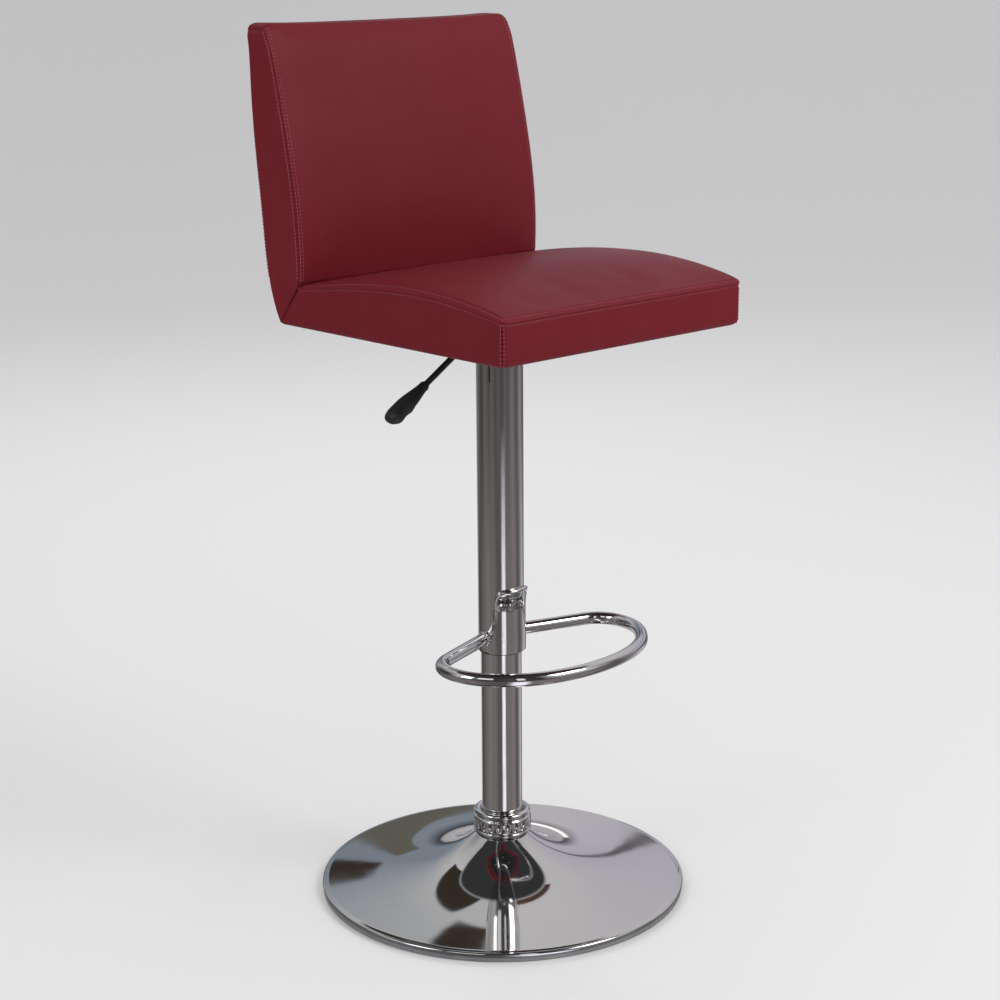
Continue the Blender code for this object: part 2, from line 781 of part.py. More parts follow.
def build_lever_pin(lift_axis):
    """Cross pin the lever turns on."""
    sweep("lever_pin", pin_path(LEVER_ROD_RADIUS + 0.0056), PIN_RADIUS, ZINC, lift_axis, 12)


def lever_point(x):
    """Centre of the lever rod at a distance out from the column."""
    if x > LEVER_BEND_X:
        return (x, 0.0, LEVER_LEVEL)
    return (x, 0.0, LEVER_LEVEL + (x - LEVER_BEND_X) * LEVER_SLOPE)


def build_lever(lever_axis):
    """Bent rod with a grip of finger waves on its end."""
    corner = Vector(lever_point(LEVER_BEND_X))
    entry = corner + Vector((0.008, 0.0, 0.0))
    leave = Vector(lever_point(LEVER_BEND_X - 0.008))
    path = [(0.0045, 0.0, LEVER_LEVEL), (-0.015, 0.0, LEVER_LEVEL)]
    for step in range(7):
        t = step / 6.0
        path.append(entry * (1 - t) ** 2 + corner * 2 * t * (1 - t) + leave * t * t)
    path.append(lever_point(-0.080))
    path.append(lever_point(GRIP_END_X + 0.010))
    lever = sweep("lever_rod", path, LEVER_ROD_RADIUS, BLACK_PAINT, lever_axis, 12)
    hole = sweep("lever_hole", pin_path(0.010), PIN_RADIUS + GAP, None, lever_axis, 12)
    cut(lever, hole)
    start = Vector(lever_point(GRIP_START_X))
    end = Vector(lever_point(GRIP_END_X))
    rings = 22
    line = [start + (end - start) * (k / rings) for k in range(rings + 1)]

    def grip_section(along, angle):
        """Half height and half width of the grip round its section, wider toward its end."""
        mouth = min(1.0, along / 0.05)
        tip = min(1.0, (1.0 - along) / 0.20)
        cap = min(0.86 + 0.14 * mouth, 0.40 + 0.60 * math.sqrt(max(0.0, 1.0 - (1.0 - tip) ** 2)))
        share = min(1.0, along / 0.62)
        spread = share * share * (3.0 - 2.0 * share)
        high = 0.0056 + 0.0034 * spread
        if math.cos(angle) < 0.0 and along > 0.42:
            high += 0.0011 * math.cos(2.0 * math.pi * (3.6 * along - 0.10))
        return high * cap, (0.0056 + 0.0070 * spread) * cap

    grip = sweep("lever_grip", line, 0.009, BLACK_PLASTIC, lever_axis, 16, grip_section)
    past = start - (end - start) * 0.15
    stop = Vector(lever_point(GRIP_END_X + 0.010)) + (end - start).normalized() * 0.0010
    socket = sweep("grip_socket", [past, stop], LEVER_ROD_RADIUS + GAP, None, lever_axis, 12)
    cut(grip, socket)


# ---------------------------------------------------------------- boards and fixings


def build_seat_board(lift_axis):
    """Plywood base of the seat with holes for the nuts and bracket screws."""
    half = SEAT_WIDTH / 2.0 - COVER_THICKNESS - EDGE_RADIUS
    top = BOARD_BOTTOM + BOARD_THICKNESS
    low_y = SEAT_FRONT + COVER_THICKNESS + EDGE_RADIUS - GAP
    board = rounded_slab("seat_board", half, low_y, board_rear(), BOARD_BOTTOM, top, 0.006, PLYWOOD, lift_axis)
    for index, (x, y) in enumerate(bolt_places()):
        profile = [
            (0.0, BOARD_BOTTOM - 0.01),
            (BOLT_RADIUS + 0.0019, BOARD_BOTTOM - 0.01),
            (BOLT_RADIUS + 0.0019, top - 0.0018),
            (0.0093, top - 0.0018),
            (0.0093, top + 0.01),
            (0.0, top + 0.01),
        ]
        cut(board, lathe("board_bolt_hole_%d" % index, profile, None, lift_axis, 16, (x, y)))
    for side in (-1.0, 1.0):
        hole = rod(
            "board_screw_hole_%s" % ("left" if side < 0 else "right"),
            0.0021,
            top - 0.0095,
            top + 0.01,
            None,
            lift_axis,
            12,
            (side * BRACKET_SPACING, screw_y()),
        )
        cut(board, hole)


def board_rear():
    """Rear edge of the seat board, kept inside the sloping joint with the back."""
    top = BOARD_BOTTOM + BOARD_THICKNESS
    share = (top - SEAT_BOTTOM) / (JOIN_Z - SEAT_BOTTOM)
    return SEAT_REAR + (JOIN_Y - SEAT_REAR) * share - 0.0080


def screw_y():
    """Position of the bracket screws in the seat board."""
    return board_rear() - 0.028


def back_frame():
    """Foot of the back board and the directions along it and through it."""
    foot = Vector((0.0, board_rear() + 0.0125, BOARD_BOTTOM + BOARD_THICKNESS + 0.0047))
    along = Vector((0.0, math.sin(BACK_BOARD_LEAN), math.cos(BACK_BOARD_LEAN)))
    through = Vector((0.0, math.cos(BACK_BOARD_LEAN), -math.sin(BACK_BOARD_LEAN)))
    return foot, along, through


def leaning_outline(low, high, front, rear):
    """Outline in Y and Z of a slab parallel to the back board."""
    foot, along, through = back_frame()
    corners = [(low, front), (low, rear), (high, rear), (high, front)]
    points = [foot + along * rise + through * depth for rise, depth in corners]
    return [(point.y, point.z) for point in points]


def leaning_rod(name, x, rise, front, rear, radius, look, axis):
    """Round bar square to the back board."""
    foot, along, through = back_frame()
    centre = foot + along * rise + Vector((x, 0.0, 0.0))
    return sweep(name, [centre + through * front, centre + through * rear], radius, look, axis, 12)


def build_back_board(lift_axis):
    """Plywood panel inside the back."""
    half = BACK_BOARD_THICKNESS / 2.0
    half_x = SEAT_WIDTH / 2.0 - 0.019
    outline = leaning_outline(0.0, BACK_BOARD_LENGTH, -half, half)
    board = sideways_prism("back_board", outline, -half_x, half_x, PLYWOOD, lift_axis)
    for side in (-1.0, 1.0):
        name = "back_board_hole_%s" % ("left" if side < 0 else "right")
        cut(board, leaning_rod(name, side * BRACKET_SPACING, 0.034, -0.02, 0.0035, 0.0021, None, lift_axis))


def build_bracket(name, centre_x, lift_axis):
    """Steel angle that ties the back board to the seat board."""
    foot, along, through = back_frame()
    level = BOARD_BOTTOM + BOARD_THICKNESS + GAP
    face = foot - through * (BACK_BOARD_THICKNESS / 2.0 + GAP)
    lean = math.tan(BACK_BOARD_LEAN)

    def at(depth, height):
        """Point a given depth in front of the board's face at a height."""
        return (face.y + (height - face.z) * lean - depth / math.cos(BACK_BOARD_LEAN), height)

    front = board_rear() - 0.052
    high = level + BRACKET_RISE
    outline = [
        (front, level),
        at(0.0, level),
        at(0.0, high),
        at(BRACKET_THICKNESS, high),
        at(BRACKET_THICKNESS, level + BRACKET_THICKNESS),
        (front, level + BRACKET_THICKNESS),
    ]
    low_x = centre_x - BRACKET_WIDTH / 2.0
    bracket = sideways_prism(name, outline, low_x, low_x + BRACKET_WIDTH, STEEL, lift_axis)
    upright = rod(name + "_hole_low", 0.0022, level - 0.01, level + 0.01, None, lift_axis, 12, (centre_x, screw_y()))
    cross = leaning_rod(name + "_hole_high", centre_x, 0.034, -0.02, 0.0, 0.0022, None, lift_axis)
    cut(bracket, upright, cross)


def build_bracket_screws(lift_axis):
    """Two screws in each bracket."""
    level = BOARD_BOTTOM + BOARD_THICKNESS + GAP + BRACKET_THICKNESS + GAP
    index = 1
    for side in (-1.0, 1.0):
        x = side * BRACKET_SPACING
        profile = [
            (0.0, level - 0.0125),
            (0.0018, level - 0.0115),
            (0.0018, level),
            (0.0040, level),
            (0.0034, level + 0.0016),
            (0.0018, level + 0.0021),
            (0.0, level + 0.0022),
        ]
        lathe("bracket_screw_%d" % index, profile, ZINC, lift_axis, 12, (x, screw_y()))
        front = -BACK_BOARD_THICKNESS / 2.0 - 2.0 * GAP - BRACKET_THICKNESS
        screw = leaning_rod("bracket_screw_%d" % (index + 1), x, 0.034, front - 0.001, 0.0030, 0.0018, ZINC, lift_axis)
        head = leaning_rod("screw_head_%d" % (index + 1), x, 0.034, front - 0.0020, front, 0.0038, None, lift_axis)
        fuse(screw, head)
        index += 2


def build_seat_bolts(lift_axis):
    """Four bolts up through the mounting plate and their threaded inserts in the board."""
    top = BOARD_BOTTOM + BOARD_THICKNESS
    under = MOUNT_TOP - MOUNT_THICKNESS - GAP
    for index, (x, y) in enumerate(bolt_places()):
        profile = [
            (0.0, under - 0.0036),
            (0.0035, under - 0.0034),
            (0.0054, under - 0.0022),
            (0.0058, under),
            (BOLT_RADIUS, under),
            (BOLT_RADIUS, top - 0.0014),
            (BOLT_RADIUS - 0.0006, top - 0.0008),
            (0.0, top - 0.0008),
        ]
        lathe("seat_bolt_%d" % (index + 1), profile, ZINC, lift_axis, 16, (x, y))
        bore = BOLT_RADIUS + GAP
        insert = [
            (bore, BOARD_BOTTOM + 0.0010),
            (BOLT_RADIUS + 0.0016, BOARD_BOTTOM + 0.0010),
            (BOLT_RADIUS + 0.0016, top - 0.0015),
            (0.0090, top - 0.0015),
            (0.0090, top - 0.0003),
            (bore, top - 0.0003),
        ]
        lathe("insert_nut_%d" % (index + 1), insert, ZINC, lift_axis, 16, (x, y))


# ---------------------------------------------------------------- upholstery


def seat_outline():
    """Side outline of the seat in Y and Z with the corner radius at each point."""
    top = SEAT_FRONT_TOP
    span = JOIN_Y - SEAT_FRONT
    arch = []
    shares = [0.86, 0.72, 0.58, 0.44, 0.30, 0.16]
    rises = [0.38, 0.66, 0.85, 0.93, 0.82, 0.50]
    for share, rise in zip(shares, rises):
        base = SEAT_FRONT_TOP + (JOIN_Z - SEAT_FRONT_TOP) * share
        arch.append((SEAT_FRONT + span * share, base + SEAT_CROWN * rise, 0.0))
    return [
        (SEAT_FRONT, SEAT_BOTTOM, 0.005),
        (SEAT_REAR, SEAT_BOTTOM, 0.0),
        (JOIN_Y, JOIN_Z, 0.0),
        *arch,
        (SEAT_FRONT, top, 0.0065),
    ]


def back_outline():
    """Side outline of the back in Y and Z with the corner radius at each point."""
    whole = BACK_TOP - SEAT_BOTTOM
    lean = BACK_TOP_REAR - SEAT_REAR
    rear = [(SEAT_REAR + lean * share, SEAT_BOTTOM + whole * level, 0.0) for level, share in REAR_CURVE]
    rise = BACK_TOP - JOIN_Z
    swing = BACK_TOP_FRONT - JOIN_Y
    front = [(JOIN_Y + swing * share, JOIN_Z + rise * level, 0.0) for level, share in FRONT_CURVE]
    return [
        (JOIN_Y, JOIN_Z, 0.0),
        (SEAT_REAR, SEAT_BOTTOM, 0.0),
        *rear,
        (BACK_TOP_REAR, BACK_TOP, 0.011),
        (BACK_TOP_FRONT, BACK_TOP, 0.014),
        *front,
    ]


def inset_outline(outline, distances):
    """Move each edge of an outline inward by its own distance and round the marked corners."""
    count = len(outline)
    area = 0.0
    for index in range(count):
        a, b = outline[index], outline[(index + 1) % count]
        area += a[0] * b[1] - b[0] * a[1]
    turn = 1.0 if area > 0.0 else -1.0
    lines = []
    for index in range(count):
        a, b = outline[index], outline[(index + 1) % count]
        run = Vector((b[0] - a[0], b[1] - a[1])).normalized()
        inward = Vector((-run.y, run.x)) * turn
        lines.append((Vector(a[:2]) + inward * distances[index], run))
    corners = []
    for index in range(count):
        start, run = lines[index - 1]
        other, cross = lines[index]
        bend = run.x * cross.y - run.y * cross.x
        if abs(bend) < 0.02:
            corners.append(other.copy())
            continue
        offset = other - start
        reach = (offset.x * cross.y - offset.y * cross.x) / bend
        corners.append(start + run * reach)
    result = []
    for index in range(count):
        radius = outline[index][2]
        point = corners[index]
        if radius <= 0.0:
            result.append((point.x, point.y))
            continue
        radius = max(radius - 0.6 * distances[index], 0.0012)
        before = (corners[index - 1] - point).normalized() * radius
        after = (corners[(index + 1) % count] - point).normalized() * radius
        for step in range(5):
            t = step / 4.0
            bent = point + before * (1 - t) ** 2 + after * t * t
            result.append((bent.x, bent.y))
    return result


def cushion(name, outline, distances, half, form, look, axis):
    """Closed soft block with a side outline, rounded at both ends, shaped by form(x, y, z)."""
    radius = EDGE_RADIUS
    stations = []
    for angle in (90.0, 64.0, 40.0, 19.0, 0.0):
        swing = math.radians(angle)
        stations.append((half - radius + radius * math.sin(swing), radius * (1.0 - math.cos(swing))))
    inner = half - radius
    spread = [inner * 0.94, inner * 0.80, inner * 0.60, inner * 0.40, inner * 0.20]
    right = stations + [(x, 0.0) for x in spread]
    rows = [(-x, d) for x, d in right] + [(0.0, 0.0)] + right[::-1]
    points = []
    for x, extra in rows:
        keep = [distance if distance < 0.0 else distance + extra for distance in distances]
        for y, z in inset_outline(outline, keep):
            points.append((x, y, form(x, y, z, half)))
    count = len(points) // len(rows)
    faces = [list(range(count)), list(range(count * (len(rows) - 1), count * len(rows)))]
    for row in range(len(rows) - 1):
        for index in range(count):
            following = (index + 1) % count
            low = row * count
            faces.append([low + index, low + following, low + count + following, low + count + index])
    return make_piece(name, points, faces, look, axis, 40.0)


def seat_form(x, y, z, half):
    """Dome of the seat across its width."""
    weight = min(1.0, max(0.0, (z - SEAT_FRONT_TOP + 0.012) / 0.022))
    ends = max(0.0, 1.0 - ((y - SEAT_FRONT) / (JOIN_Y - SEAT_FRONT) * 2.0 - 1.0) ** 2)
    return z + CUSHION_DOME * weight * ends * (1.0 - (x / half) ** 2)


def back_form(x, y, z, half):
    """Rounded top corners of the back seen from the front."""
    start = half - BACK_CORNER
    if abs(x) <= start:
        return z
    base = BACK_TOP - BACK_CORNER - 0.012
    if z <= base:
        return z
    drop = abs(x) - start
    limit = BACK_TOP - BACK_CORNER + math.sqrt(max(0.0, BACK_CORNER ** 2 - drop * drop))
    return base + (z - base) * (limit - base) / (BACK_TOP - base)


def even(outline, distance, special):
    """The same distance for every edge, except those listed by index."""
    distances = [distance] * len(outline)
    for index, value in special.items():
        distances[index] = value
    return distances


def build_seat_cushion(lift_axis):
    """Vinyl seat cover, open underneath and toward the back, and the foam inside it."""
    outline = seat_outline()
    half = SEAT_WIDTH / 2.0
    thick = COVER_THICKNESS
    mitre = 1
    outer = even(outline, 0.0, {mitre: GAP / 2.0})
    cover = cushion("seat_cover", outline, outer, half, seat_form, BURGUNDY, lift_axis)
    hollow = even(outline, thick, {mitre: -0.02})
    cavity = cushion("seat_cavity", outline, hollow, half - thick, seat_form, None, lift_axis)
    opening = box(
        "seat_opening",
        (-half + HEM_WIDTH, SEAT_FRONT + HEM_WIDTH, SEAT_BOTTOM - 0.01),
        (half - HEM_WIDTH, JOIN_Y, SEAT_BOTTOM + 0.01),
        None,
        lift_axis,
    )
    cut(cover, cavity, opening)
    level = BOARD_BOTTOM + BOARD_THICKNESS + GAP - SEAT_BOTTOM
    filled = even(outline, thick + GAP, {mitre: 0.0005, 0: level})
    foam = cushion("seat_foam", outline, filled, half - thick - GAP, seat_form, FOAM, lift_axis)
    for side in (-1.0, 1.0):
        pocket = box(
            "seat_foam_pocket_%s" % ("left" if side < 0 else "right"),
            (side * BRACKET_SPACING - BRACKET_WIDTH / 2.0 - 0.001, board_rear() - 0.054, SEAT_BOTTOM),
            (side * BRACKET_SPACING + BRACKET_WIDTH / 2.0 + 0.001, SEAT_REAR + 0.03, level + SEAT_BOTTOM + 0.0070),
            None,
            lift_axis,
        )
        tall = sideways_prism(
            "seat_foam_slot_%s" % ("left" if side < 0 else "right"),
            leaning_outline(-0.01, BRACKET_RISE + 0.006, -0.0125, 0.02),
            side * BRACKET_SPACING - BRACKET_WIDTH / 2.0 - 0.001,
            side * BRACKET_SPACING + BRACKET_WIDTH / 2.0 + 0.001,
            None,
            lift_axis,
        )
        cut(foam, pocket, tall)


def build_back_cushion(lift_axis):
    """Vinyl back cover, open at its foot, and the foam round the back board."""
    outline = back_outline()
    half = SEAT_WIDTH / 2.0
    thick = COVER_THICKNESS
    mitre = 0
    outer = even(outline, 0.0, {mitre: GAP / 2.0})
    cover = cushion("back_cover", outline, outer, half, back_form, BURGUNDY, lift_axis)
    hollow = even(outline, thick, {mitre: -0.02})
    cavity = cushion("back_cavity", outline, hollow, half - thick, back_cavity_form, None, lift_axis)
    cut(cover, cavity)
    filled = even(outline, thick + GAP, {mitre: 0.0005})
    foam = cushion("back_foam", outline, filled, half - thick - GAP, back_foam_form, FOAM, lift_axis)
    gap = BACK_BOARD_THICKNESS / 2.0 + GAP
    half_x = SEAT_WIDTH / 2.0 - 0.019 + GAP
    room = sideways_prism(
        "back_foam_slot",
        leaning_outline(-0.06, BACK_BOARD_LENGTH + GAP, -gap, gap),
        -half_x,
        half_x,
        None,
        lift_axis,
    )
    cut(foam, room)
    for side in (-1.0, 1.0):
        pocket = sideways_prism(
            "back_foam_pocket_%s" % ("left" if side < 0 else "right"),
            leaning_outline(-0.06, BRACKET_RISE + 0.006, -0.0125, 0.0),
            side * BRACKET_SPACING - BRACKET_WIDTH / 2.0 - 0.001,
            side * BRACKET_SPACING + BRACKET_WIDTH / 2.0 + 0.001,
            None,
            lift_axis,
        )
        cut(foam, pocket)


def back_cavity_form(x, y, z, half):
    """Rounded top corners of the hollow inside the back cover."""
    return back_form(x, y, z + COVER_THICKNESS, half) - COVER_THICKNESS


def back_foam_form(x, y, z, half):
    """Rounded top corners of the back's foam."""
    inset = COVER_THICKNESS + GAP
    return back_form(x, y, z + inset, half) - inset


def build_dust_cover(lift_axis):
    """Thin black cloth under the seat board, with holes for the bolts."""
    half = SEAT_WIDTH / 2.0 - HEM_WIDTH - 0.0005
    cloth = rounded_slab(
        "dust_cover",
        half,
        SEAT_FRONT + HEM_WIDTH + 0.0005,
        JOIN_Y - 0.0005,
        MOUNT_TOP + 0.0006,
        BOARD_BOTTOM - GAP,
        0.004,
        BLACK_FABRIC,
        lift_axis,
    )
    for index, (x, y) in enumerate(bolt_places()):
        hole = rod("cloth_hole_%d" % index, BOLT_RADIUS + 0.0005, 0.70, 0.72, None, lift_axis, 12, (x, y))
        cut(cloth, hole)


# ---------------------------------------------------------------- assembly


def main():
    """Build every piece of the stool."""
    clear_scene()
    swivel_axis = make_axis("swivel_axis", (0.0, 0.0, 0.0))
    lift_axis = make_axis("lift_axis", (0.0, 0.0, 0.0), swivel_axis)
    lever_axis = make_axis("lever_axis", (PIVOT_X, 0.0, LEVER_LEVEL), lift_axis)
    valve_axis = make_axis("valve_axis", (0.0, 0.0, CYLINDER_TOP), lift_axis)

    build_base_dish()
    build_floor_ring()
    build_weight_plate()
    build_column_fixing()
    build_lower_column()
    build_collar()
    build_guide_bush()
    shoulder = build_bearing(swivel_axis)

    build_piston_rod(swivel_axis, shoulder)
    build_gas_cylinder(lift_axis)
    build_valve_pin(valve_axis)

    build_sleeve(lift_axis)
    build_saddle(lift_axis)
    build_footrest(lift_axis)

    build_mounting_plate(lift_axis)
    build_lever_pin(lift_axis)
    build_lever(lever_axis)

    build_seat_board(lift_axis)
    build_back_board(lift_axis)
    build_bracket("angle_bracket_left", -BRACKET_SPACING, lift_axis)
    build_bracket("angle_bracket_right", BRACKET_SPACING, lift_axis)
    build_bracket_screws(lift_axis)
    build_seat_bolts(lift_axis)

    build_seat_cushion(lift_axis)
    build_back_cushion(lift_axis)
    build_dust_cover(lift_axis)


main()
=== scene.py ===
"""Adjustable swivel stool: finished surfaces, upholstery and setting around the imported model.

Everything is in metres in the stool's own frame: the column stands on the Z axis, the sitter
faces -Y and the release lever is on the -X side.
"""

from __future__ import annotations

import json
import logging
import math
from collections.abc import Callable, Iterable, Sequence
from dataclasses import dataclass, field
from enum import Enum

import bmesh
import bpy
import numpy as np
from mathutils import Matrix, Vector

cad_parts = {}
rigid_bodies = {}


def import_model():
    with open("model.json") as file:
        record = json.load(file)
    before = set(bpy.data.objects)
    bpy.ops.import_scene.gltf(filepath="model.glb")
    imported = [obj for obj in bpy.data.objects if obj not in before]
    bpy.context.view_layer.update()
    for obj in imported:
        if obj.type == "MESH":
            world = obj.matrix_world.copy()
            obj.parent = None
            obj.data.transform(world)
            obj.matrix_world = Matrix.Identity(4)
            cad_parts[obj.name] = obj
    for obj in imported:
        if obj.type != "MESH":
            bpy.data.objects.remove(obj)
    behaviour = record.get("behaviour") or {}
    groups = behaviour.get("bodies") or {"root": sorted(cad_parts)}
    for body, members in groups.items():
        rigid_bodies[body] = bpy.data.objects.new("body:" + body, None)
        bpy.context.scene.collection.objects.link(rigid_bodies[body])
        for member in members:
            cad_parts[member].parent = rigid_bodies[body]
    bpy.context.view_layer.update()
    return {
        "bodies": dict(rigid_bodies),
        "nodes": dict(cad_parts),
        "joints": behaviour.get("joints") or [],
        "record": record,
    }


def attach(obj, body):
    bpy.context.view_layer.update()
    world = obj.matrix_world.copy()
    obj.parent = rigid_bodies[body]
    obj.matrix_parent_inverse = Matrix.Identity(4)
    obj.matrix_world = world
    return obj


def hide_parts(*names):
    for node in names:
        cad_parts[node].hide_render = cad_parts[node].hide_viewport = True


LOG = logging.getLogger("stool")

Point = tuple[float, float, float]


class Body(Enum):
    """Groups of the stool that move together."""

    BASE = "base"
    ROD = "rod"
    SEAT = "seat"
    LEVER = "lever"
    VALVE = "valve"


class Slot(Enum):
    """Names of the finishes in the record."""

    CHROME = "chrome"
    STEEL = "steel"
    ZINC = "zinc"
    BLACK_PAINT = "black_paint"
    BLACK_PLASTIC = "black_plastic"
    GREY_RUBBER = "grey_rubber"
    WHITE_PLASTIC = "white_plastic"
    BRASS = "brass"
    PLYWOOD = "plywood"
    FOAM = "foam"
    VINYL = "vinyl"
    BLACK_FABRIC = "black_fabric"


# ------------------------------------------------------------------ shader building


class NodeKit:
    """Short calls for adding and joining shader or geometry nodes in one tree."""

    def __init__(self, tree: bpy.types.NodeTree) -> None:
        """Keep the tree that nodes are added to.

        Args:
            tree: Shader or geometry node tree.
        """
        self.tree = tree

    def add(self, kind: str, **settings: object) -> bpy.types.Node:
        """Add a node and set its properties and inputs.

        Args:
            kind: Blender's node type name.
            **settings: Properties of the node; a key that starts with "in_" sets the input
                whose name follows, with underscores read as spaces.

        Returns:
            The new node.
        """
        node = self.tree.nodes.new(kind)
        for key, value in settings.items():
            if key.startswith("in_"):
                name = key[3:].replace("_", " ")
                socket = node.inputs[int(name)] if name.isdigit() else node.inputs[name]
                socket.default_value = value
            else:
                setattr(node, key, value)
        return node

    def link(self, source: bpy.types.NodeSocket, target: bpy.types.NodeSocket) -> None:
        """Join an output to an input."""
        self.tree.links.new(source, target)

    def math(
        self,
        operation: str,
        first: bpy.types.NodeSocket | float,
        second: bpy.types.NodeSocket | float = 0.0,
        third: bpy.types.NodeSocket | float = 0.0,
        clamp: bool = False,
    ) -> bpy.types.NodeSocket:
        """Add a Math node.

        Args:
            operation: Blender's name of the operation.
            first: First value or socket.
            second: Second value or socket.
            third: Third value or socket, where the operation has one.
            clamp: Whether the result is kept from 0 to 1.

        Returns:
            The node's output socket.
        """
        node = self.tree.nodes.new("ShaderNodeMath")
        node.operation = operation
        node.use_clamp = clamp
        for index, value in enumerate((first, second, third)):
            if isinstance(value, (int, float)):
                node.inputs[index].default_value = value
            else:
                self.link(value, node.inputs[index])
        return node.outputs[0]

    def ramp(
        self, source: bpy.types.NodeSocket, low: float, high: float, start: float = 0.0, end: float = 1.0
    ) -> bpy.types.NodeSocket:
        """Map a value from one range to another, clamped.

        Args:
            source: Value to map.
            low: Source value that gives start.
            high: Source value that gives end.
            start: Result at low.
            end: Result at high.

        Returns:
            The mapped value's socket.
        """
        node = self.tree.nodes.new("ShaderNodeMapRange")
        node.clamp = True
        self.link(source, node.inputs["Value"])
        for name, value in (("From Min", low), ("From Max", high), ("To Min", start), ("To Max", end)):
            node.inputs[name].default_value = value
        return node.outputs["Result"]

    def mix(
        self,
        factor: bpy.types.NodeSocket | float,
        first: Sequence[float] | bpy.types.NodeSocket,
        second: Sequence[float] | bpy.types.NodeSocket,
    ) -> bpy.types.NodeSocket:
        """Blend two colours.

        Args:
            factor: How much of the second colour shows.
            first: Colour or socket at factor 0.
            second: Colour or socket at factor 1.

        Returns:
            The colour's socket.
        """
        node = self.tree.nodes.new("ShaderNodeMix")
        node.data_type = "RGBA"
        if isinstance(factor, (int, float)):
            node.inputs[0].default_value = factor
        else:
            self.link(factor, node.inputs[0])
        for socket, value in ((node.inputs[6], first), (node.inputs[7], second)):
            if isinstance(value, bpy.types.NodeSocket):
                self.link(value, socket)
            else:
                socket.default_value = (*value[:3], 1.0)
        return node.outputs[2]


@dataclass(frozen=True)
class GroupSocket:
    """One input of a shader group."""

    name: str
    kind: str
    value: float = 0.0


